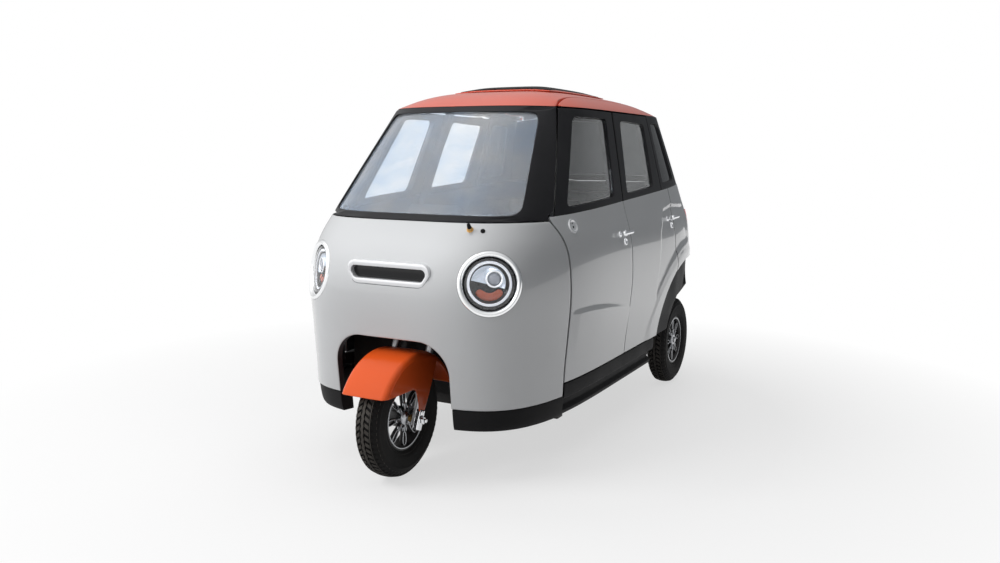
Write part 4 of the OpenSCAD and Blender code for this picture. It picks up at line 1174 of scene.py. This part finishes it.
# Headlights, with the profiles of their turned pieces as radius and height
LAMP_AT = lamp_place(1)
BEZEL = [(0.0985, -0.068), (0.0985, -0.012), (0.1005, -0.0050), (0.1050, 0.0022), (0.1105, 0.0060),
         (0.1155, 0.0062), (0.1195, 0.0040), (0.1216, -0.0005), (0.1218, -0.006), (0.1218, -0.030),
         (0.1195, -0.068), (0.0985, -0.068)]
INNER_RING = [(0.0915, -0.0140), (0.0930, -0.0105), (0.0960, -0.0095), (0.0984, -0.0115), (0.0984, -0.0200),
              (0.0915, -0.0200), (0.0915, -0.0140)]
BOWL = [(0.0984, -0.0150), (0.0915, -0.0180), (0.0840, -0.0260), (0.0720, -0.0470), (0.0500, -0.0600),
        (0, -0.0640), (0, -0.0670), (0.0700, -0.0650), (0.0984, -0.0400), (0.0984, -0.0150)]
LED_RING = [(0.0735, -0.0230), (0.0745, -0.0205), (0.0785, -0.0195), (0.0825, -0.0205), (0.0835, -0.0230),
            (0.0825, -0.0255), (0.0745, -0.0255), (0.0735, -0.0230)]
COVER = [(0, -0.0060), (0.0400, -0.0062), (0.0800, -0.0075), (0.0965, -0.0100), (0.0982, -0.0125),
         (0.0965, -0.0125), (0.0800, -0.0098), (0.0400, -0.0084), (0, -0.0082)]
REFLECTOR = [(0.0030, -0.0040), (0.0300, 0.0), (0.0480, 0.0070), (0.0620, 0.0170), (0.0640, 0.0165),
             (0.0490, 0.0045), (0.0300, -0.0030), (0.0030, -0.0070), (0.0030, -0.0040)]
EYE_RING = [(0.0240, 0.0), (0.0255, 0.0080), (0.0290, 0.0100), (0.0325, 0.0080), (0.0330, -0.0150),
            (0.0240, -0.0150), (0.0240, 0.0)]
EYE = [(0, 0.0105), (0.0080, 0.0098), (0.0160, 0.0070), (0.0235, 0.0010), (0.0235, -0.0120), (0, -0.0120)]


def skin_over_lamp(x, y):
    """Height of the skin over the lamp plane."""
    low, high = -0.060, 0.020
    for _ in range(18):
        middle = (low + high) / 2
        p = LAMP_AT @ Vector((x, y, middle))
        n = level(p.z, 4)
        if (abs(p.x) / level(p.z, 1)) ** n + (abs(p.y) / level(p.z, 2)) ** n > 1:
            high = middle
        else:
            low = middle
    return (low + high) / 2


def lamp_piece(name, profile, steps=72, follow=1.0, bottom=-0.045):
    """A turned piece of the lamp whose front follows the skin."""
    obj = turned(name, profile, steps)
    for corner in obj.data.vertices:
        if corner.co.z > bottom:
            corner.co.z += follow * skin_over_lamp(corner.co.x, corner.co.y)
    obj.matrix_world = LAMP_AT
    return smooth(settle(obj), 45)


def arc_tube(name, radius, start, end, thick, deep, at):
    """A bent bar in the lamp plane, between two angles in degrees."""
    obj = laid_grid(name, 30, 12, lambda u, v: Vector((u, v, 0)))
    for corner in obj.data.vertices:
        u, v = corner.co.x, corner.co.y
        a, b = math.radians(start + (end - start) * u), 2 * math.pi * v
        taper = math.sqrt(max(0.0, 1 - (2 * u - 1) ** 8)) * 0.999 + 0.001
        r = radius + thick * taper * math.cos(b)
        corner.co = (r * math.cos(a), r * math.sin(a), at + deep * taper * math.sin(b))
    face_out(obj, WIDE_WELD)
    obj.matrix_world = LAMP_AT
    return smooth(settle(obj), 60)


def make_headlights():
    pieces = [
        (lamp_piece("headlight_bezel", BEZEL, 96), bezel_white, "chrome", "headlight_bezels"),
        (lamp_piece("headlight_inner_ring", INNER_RING, 96), lamp_black, "lamp_dark", None),
        (lamp_piece("headlight_bowl", BOWL, 72, 1.0, -0.030), lamp_black, "lamp_dark", "headlight_lenses"),
        (lamp_piece("headlight_led_ring", LED_RING, 96, 0.8), led_white, "lamp_dark", None),
        (lamp_piece("headlight_cover", COVER, 72), lamp_glass, "lamp_dark", None),
        (arc_tube("headlight_indicator", 0.0500, -152, -28, 0.0150, 0.0050, -0.0420), amber, "lamp_dark",
         None)]
    dish = turned("headlight_reflector", REFLECTOR, 72)
    edit(dish)
    bpy.ops.mesh.bisect(plane_co=(0, -0.006, 0), plane_no=(0.25, 1, 0), clear_inner=True, use_fill=True)
    leave()
    dish.matrix_world = LAMP_AT @ Matrix.Translation((-0.004, 0.002, -0.0520))
    pieces.append((smooth(settle(dish), 40), lamp_mirror, "lamp_dark", None))
    eye = LAMP_AT @ Matrix.Translation((0.0180, 0.0170, -0.0430))
    ring = smooth(turned("headlight_eye_ring", EYE_RING, 48, eye), 45)
    pieces.append((ring, bezel_white, "chrome", None))
    pieces.append((smooth(turned("headlight_eye", EYE, 48, eye), 60), eye_glass, "lamp_dark", None))
    for obj, material, slot, node in pieces:
        other = mirrored(obj, obj.name + "_right")
        dress(obj, material, "body", node)
        dress(other, material, "body")


make_headlights()


# Nose slot
def make_slot():
    """Black wire mesh behind the slot frame."""
    mesh = added("slot_mesh", bpy.ops.mesh.primitive_grid_add, x_subdivisions=74, y_subdivisions=11, size=1)
    front = -level(SLOT_Z, 2)
    for corner in mesh.data.vertices:
        x, v = corner.co.x * 0.352, corner.co.y * 0.052
        corner.co = (x, front + 0.016 + 0.03 * x * x / 0.1, SLOT_Z + v)
    edit(mesh)
    bpy.ops.mesh.poke()
    bpy.ops.mesh.tris_convert_to_quads(face_threshold=math.pi, shape_threshold=math.pi)
    leave()
    shape(mesh, "WIREFRAME", thickness=0.0014, use_even_offset=False)
    dress(smooth(mesh, 50), trim_black, "body")


make_slot()


# Small fittings
MIRROR_Y = -0.599
LOCK = [(0, 0.0040), (0.0030, 0.0040), (0.0034, 0.0018), (0.0095, 0.0022), (0.0125, 0.0050),
        (0.0150, 0.0046), (0.0168, 0.0010), (0.0168, -0.0060), (0, -0.0060)]
FOOT_TOP = [(0, 0.0060), (0.0085, 0.0055)]
FOOT = [(0.0095, 0.0045), (0.0130, 0.0030), (0.0140, 0.0005), (0.0140, -0.0050), (0, -0.0050)]
MIRROR_SEAT = [(0, 0.0010), (0.0150, 0.0010), (0.0190, 0.0016), (0.0230, 0.0048), (0.0262, 0.0058),
               (0.0290, 0.0048), (0.0302, 0.0004), (0.0302, -0.0060), (0, -0.0060)]
MIRROR_HOLE = [(0, 0.0016), (0.0042, 0.0016), (0.0050, 0.0010), (0.0050, -0.0030), (0, -0.0030)]
MIRROR_SCREW = [(0, 0.0022), (0.0022, 0.0020), (0.0032, 0.0010), (0.0032, -0.0030), (0, -0.0030)]
SPINDLE_NUT = [(0, 0.0130), (0.0080, 0.0130), (0.0095, 0.0110), (0.0100, 0.0020), (0.0130, 0.0010),
               (0.0130, -0.0060), (0, -0.0060)]
SPINDLE_CAP = [(0, 0.0360), (0.0045, 0.0355), (0.0068, 0.0320), (0.0078, 0.0180), (0.0078, 0.0120),
               (0, 0.0120)]
WASHER_JET = [(0, 0.0065), (0.0035, 0.0062), (0.0060, 0.0045), (0.0085, 0.0030), (0.0092, 0.0),
              (0.0092, -0.0050), (0, -0.0050)]


def stood(name, profile, point, normal, steps):
    """A turned piece standing on the skin."""
    place = Matrix.Translation(point) @ normal.to_track_quat("Z", "Y").to_matrix().to_4x4()
    return smooth(turned(name, profile, steps, place), 45)


def turned_on_side(name, profile, y, z, steps=48):
    """A turned piece on the left side of the body."""
    return stood(name, profile, on_side(y, z), skin_normal(y, z), steps)


def turned_on_cowl(name, profile, x, z, steps=32):
    """A turned piece on the nose, under the screen."""
    a = angle_of_x(x, z)
    across = on_skin(a + 0.5, z) - on_skin(a - 0.5, z)
    up = on_skin(a, z + 0.01) - on_skin(a, z - 0.01)
    return stood(name, profile, on_skin(a, z), across.cross(up).normalized(), steps)


def both_sides(obj, material, end):
    """Dresses a piece of a left door and its copy on the right door."""
    other = mirrored(obj, obj.name.replace("left", "right"))
    dress(obj, material, f"{end}_left_door")
    dress(other, material, f"{end}_right_door")


def make_fittings():
    for end, y, z in (("front", -0.140, 0.920), ("rear", 0.576, 0.944)):
        sunk = hollow_rise(y, z) if end == "rear" else 0.0
        for side in ("left", "right"):
            node = f"{end}_{side}_handle"
            pull = smooth(rounded(copied(node, node + "_chrome"), 0.0008, 2, 60), 50)
            dress(pull, chrome, f"{end}_{side}_door", node)
        lock = [(r, h + sunk) for r, h in LOCK]
        both_sides(turned_on_side(f"{end}_left_lock", lock, y + 0.016, z - 0.036), chrome, end)
        foot = FOOT_TOP + [(r, h + sunk) for r, h in FOOT]
        for letter, step in (("a", -0.036), ("b", 0.036)):
            both_sides(turned_on_side(f"{end}_left_handle_foot_{letter}", foot, y + step, z), chrome, end)
    for name, profile, z, steps, material, slot in (
            ("seat", MIRROR_SEAT, 0.983, 48, silver_trim, "body_paint"),
            ("hole", MIRROR_HOLE, 0.979, 24, lamp_black, "black_trim"),
            ("screw", MIRROR_SCREW, 0.993, 24, lamp_black, "black_trim")):
        piece = turned_on_side("front_left_mirror_" + name, profile, MIRROR_Y, z, steps)
        both_sides(piece, material, "front")
    for name, profile, x, z, material, slot in (
            ("wiper_spindle_nut", SPINDLE_NUT, 0.296, 0.984, brass, "silver_trim"),
            ("wiper_spindle_cap", SPINDLE_CAP, 0.296, 0.984, trim_black, "black_trim"),
            ("washer_jet", WASHER_JET, 0.343, 0.980, trim_black, "black_trim")):
        dress(turned_on_cowl(name, profile, x, z), material, "body")


make_fittings()


def make_fork_ends():
    """Chrome clamps and nuts at the ends of the front axle."""
    lean = Matrix.Rotation(-RAKE, 4, "X")
    for side, word in ((1, "left"), (-1, "right")):
        x = side * 0.0955
        clamp = chamfer_box(f"{word}_axle_clamp", (0.024, 0.034, 0.082),
                            Matrix.Translation((x, FRONT_Y, TYRE_R)) @ lean, 0.005, 3)
        dress(smooth(clamp, 40), chrome, "steering")
        sideways = Matrix.Rotation(math.radians(90 * side), 4, "Y")
        out = Matrix.Translation((side * 0.107, FRONT_Y, TYRE_R)) @ sideways
        nut = turned(f"{word}_axle_nut", [(0, 0.0), (0.0160, 0.0), (0.0160, 0.0110), (0.0140, 0.0130),
                                          (0, 0.0130)], 6, out)
        stud = turned(f"{word}_axle_stud", [(0, 0.0120), (0.0078, 0.0120), (0.0078, 0.0235),
                                            (0.0062, 0.0250), (0, 0.0250)], 24, out)
        washer = turned(f"{word}_axle_washer", rod(0.0190, -0.0015, 0.0015), 32, out)
        fixing = rounded(join(f"{word}_axle_fixing", [nut, stud, washer]), 0.0008, 2, 30)
        dress(smooth(fixing, 30), chrome, "steering")
        sleeve = turned(f"{word}_axle_sleeve", [(0.0101, 0.0), (0.0150, 0.0), (0.0150, 0.0160),
                                                (0.0101, 0.0160), (0.0101, 0.0)], 32,
                        Matrix.Translation((side * 0.0565, FRONT_Y, TYRE_R)) @ sideways)
        dress(smooth(sleeve, 40), brass, "steering")


make_fork_ends()


# Seats and cabin: the sewn channels and the seam of a cushion, how wide and how deep
CHANNEL_WIDE, CHANNEL_DEEP, SEAM_WIDE, SEAM_DEEP = 0.0055, 0.009, 0.0035, 0.0035
PRESSURE, SIM_FRAMES = 4.0, 20
DRIVER_CHANNELS, BENCH_CHANNELS = (-0.12, -0.04, 0.04, 0.12), (-0.28, -0.14, 0.0, 0.14, 0.28)


def pad(name, size, place, channels, node=None, cap=0.020):
    """A stuffed cushion: a rounded box blown up as cloth, with sewn channels pressed in afterwards."""
    width, depth, height = size
    obj = chamfer_box(name, (width - 0.016, depth - 0.016, height - 0.020), Matrix.Identity(4), 0.026, 3)
    shape(obj, "REMESH", mode="VOXEL", voxel_size=0.006)
    rest = [corner.co.copy() for corner in obj.data.vertices]
    only(obj)
    bpy.ops.object.modifier_add(type="CLOTH")
    cloth = obj.modifiers[-1]
    cloth.settings.use_pressure = True
    cloth.settings.uniform_pressure_force = PRESSURE
    cloth.settings.effector_weights.gravity = 0.0
    cloth.settings.quality = 2
    cloth.collision_settings.use_collision = False
    cloth.point_cache.frame_end = SIM_FRAMES
    for step in range(1, SIM_FRAMES + 1):
        bpy.context.scene.frame_set(step)
    bpy.ops.object.modifier_apply(modifier=cloth.name)
    bpy.context.scene.frame_set(1)
    for corner, start in zip(obj.data.vertices, rest):
        move = corner.co - start
        if move.length > cap:
            corner.co = start + move * (cap / move.length)
    shape(obj, "SMOOTH", factor=0.5, iterations=6)
    shape(obj, "SUBSURF", levels=1, render_levels=1)
    for corner in obj.data.vertices:
        x, y, z = corner.co
        if z > height * 0.1:
            press = sum(math.exp(-((x - line) / CHANNEL_WIDE) ** 2) for line in channels)
            corner.co.z -= CHANNEL_DEEP * press * ease((z - height * 0.1) / (height * 0.25))
        seam = math.exp(-((z - height * 0.16) / SEAM_WIDE) ** 2)
        corner.co.x -= SEAM_DEEP * seam * (1 if x > 0 else -1) * ease((abs(x) - width * 0.42) / 0.01)
        corner.co.y -= SEAM_DEEP * seam * (1 if y > 0 else -1) * ease((abs(y) - depth * 0.42) / 0.01)
    for corner in obj.data.vertices:
        corner.co.x = max(-width / 2, min(width / 2, corner.co.x))
        corner.co.y = max(-depth / 2, min(depth / 2, corner.co.y))
        corner.co.z = max(-height / 2, min(height / 2 + 0.004, corner.co.z))
    obj.matrix_world = place
    settle(obj)
    smooth(obj, 180)
    dress(obj, seat_vinyl, "body", node)
    return obj


def make_seats():
    face_front = Matrix.Rotation(math.radians(90), 4, "X")

    def leaned(foot, degrees, up):
        """Place of a back cushion that leans over its foot."""
        return (Matrix.Translation(foot) @ Matrix.Rotation(math.radians(-degrees), 4, "X")
                @ Matrix.Translation((0, 0, up)) @ face_front)

    pad("driver_cushion", (0.450, 0.410, 0.110), Matrix.Translation((0, 0.02, 0.516)), DRIVER_CHANNELS,
        "driver_seat")
    pad("driver_back_cushion", (0.436, 0.480, 0.088), leaned((0, 0.215, 0.56), 14, 0.255), DRIVER_CHANNELS)
    pad("bench_cushion", (0.832, 0.430, 0.108), Matrix.Translation((0, 0.610, 0.5895)), BENCH_CHANNELS,
        "rear_bench")
    pad("bench_back_cushion", (0.832, 0.450, 0.088), leaned((0, 0.830, 0.6243), 12, 0.240), BENCH_CHANNELS)
    box = chamfer_box("driver_seat_box", (0.380, 0.340, 0.1954), (0, 0.020, 0.3626), 0.012, 3)
    pick_faces(box, lambda c, n: n.y < -0.9 and abs(c.x) < 0.15)
    bpy.ops.mesh.inset(thickness=0.03)
    bpy.ops.mesh.extrude_region_move(TRANSFORM_OT_translate={"value": (0, 0.006, 0)})
    leave()
    dress(smooth(box, 40), cabin_black, "body")


make_seats()


def make_cabin():
    """The instrument pod on the dashboard, with a sunk face."""
    pod = chamfer_box("instrument_pod", (0.250, 0.090, 0.110), Matrix.Translation((0, -0.735, 0.995))
                      @ Matrix.Rotation(math.radians(-28), 4, "X"), 0.022, 4)
    pick_faces(pod, lambda c, n: n.y > 0.6 and n.z > 0.2)
    bpy.ops.mesh.inset(thickness=0.012)
    bpy.ops.mesh.extrude_region_move(TRANSFORM_OT_translate={"value": (0, -0.005, -0.003)})
    leave()
    dress(smooth(pod, 40), cabin_black, "body")


make_cabin()
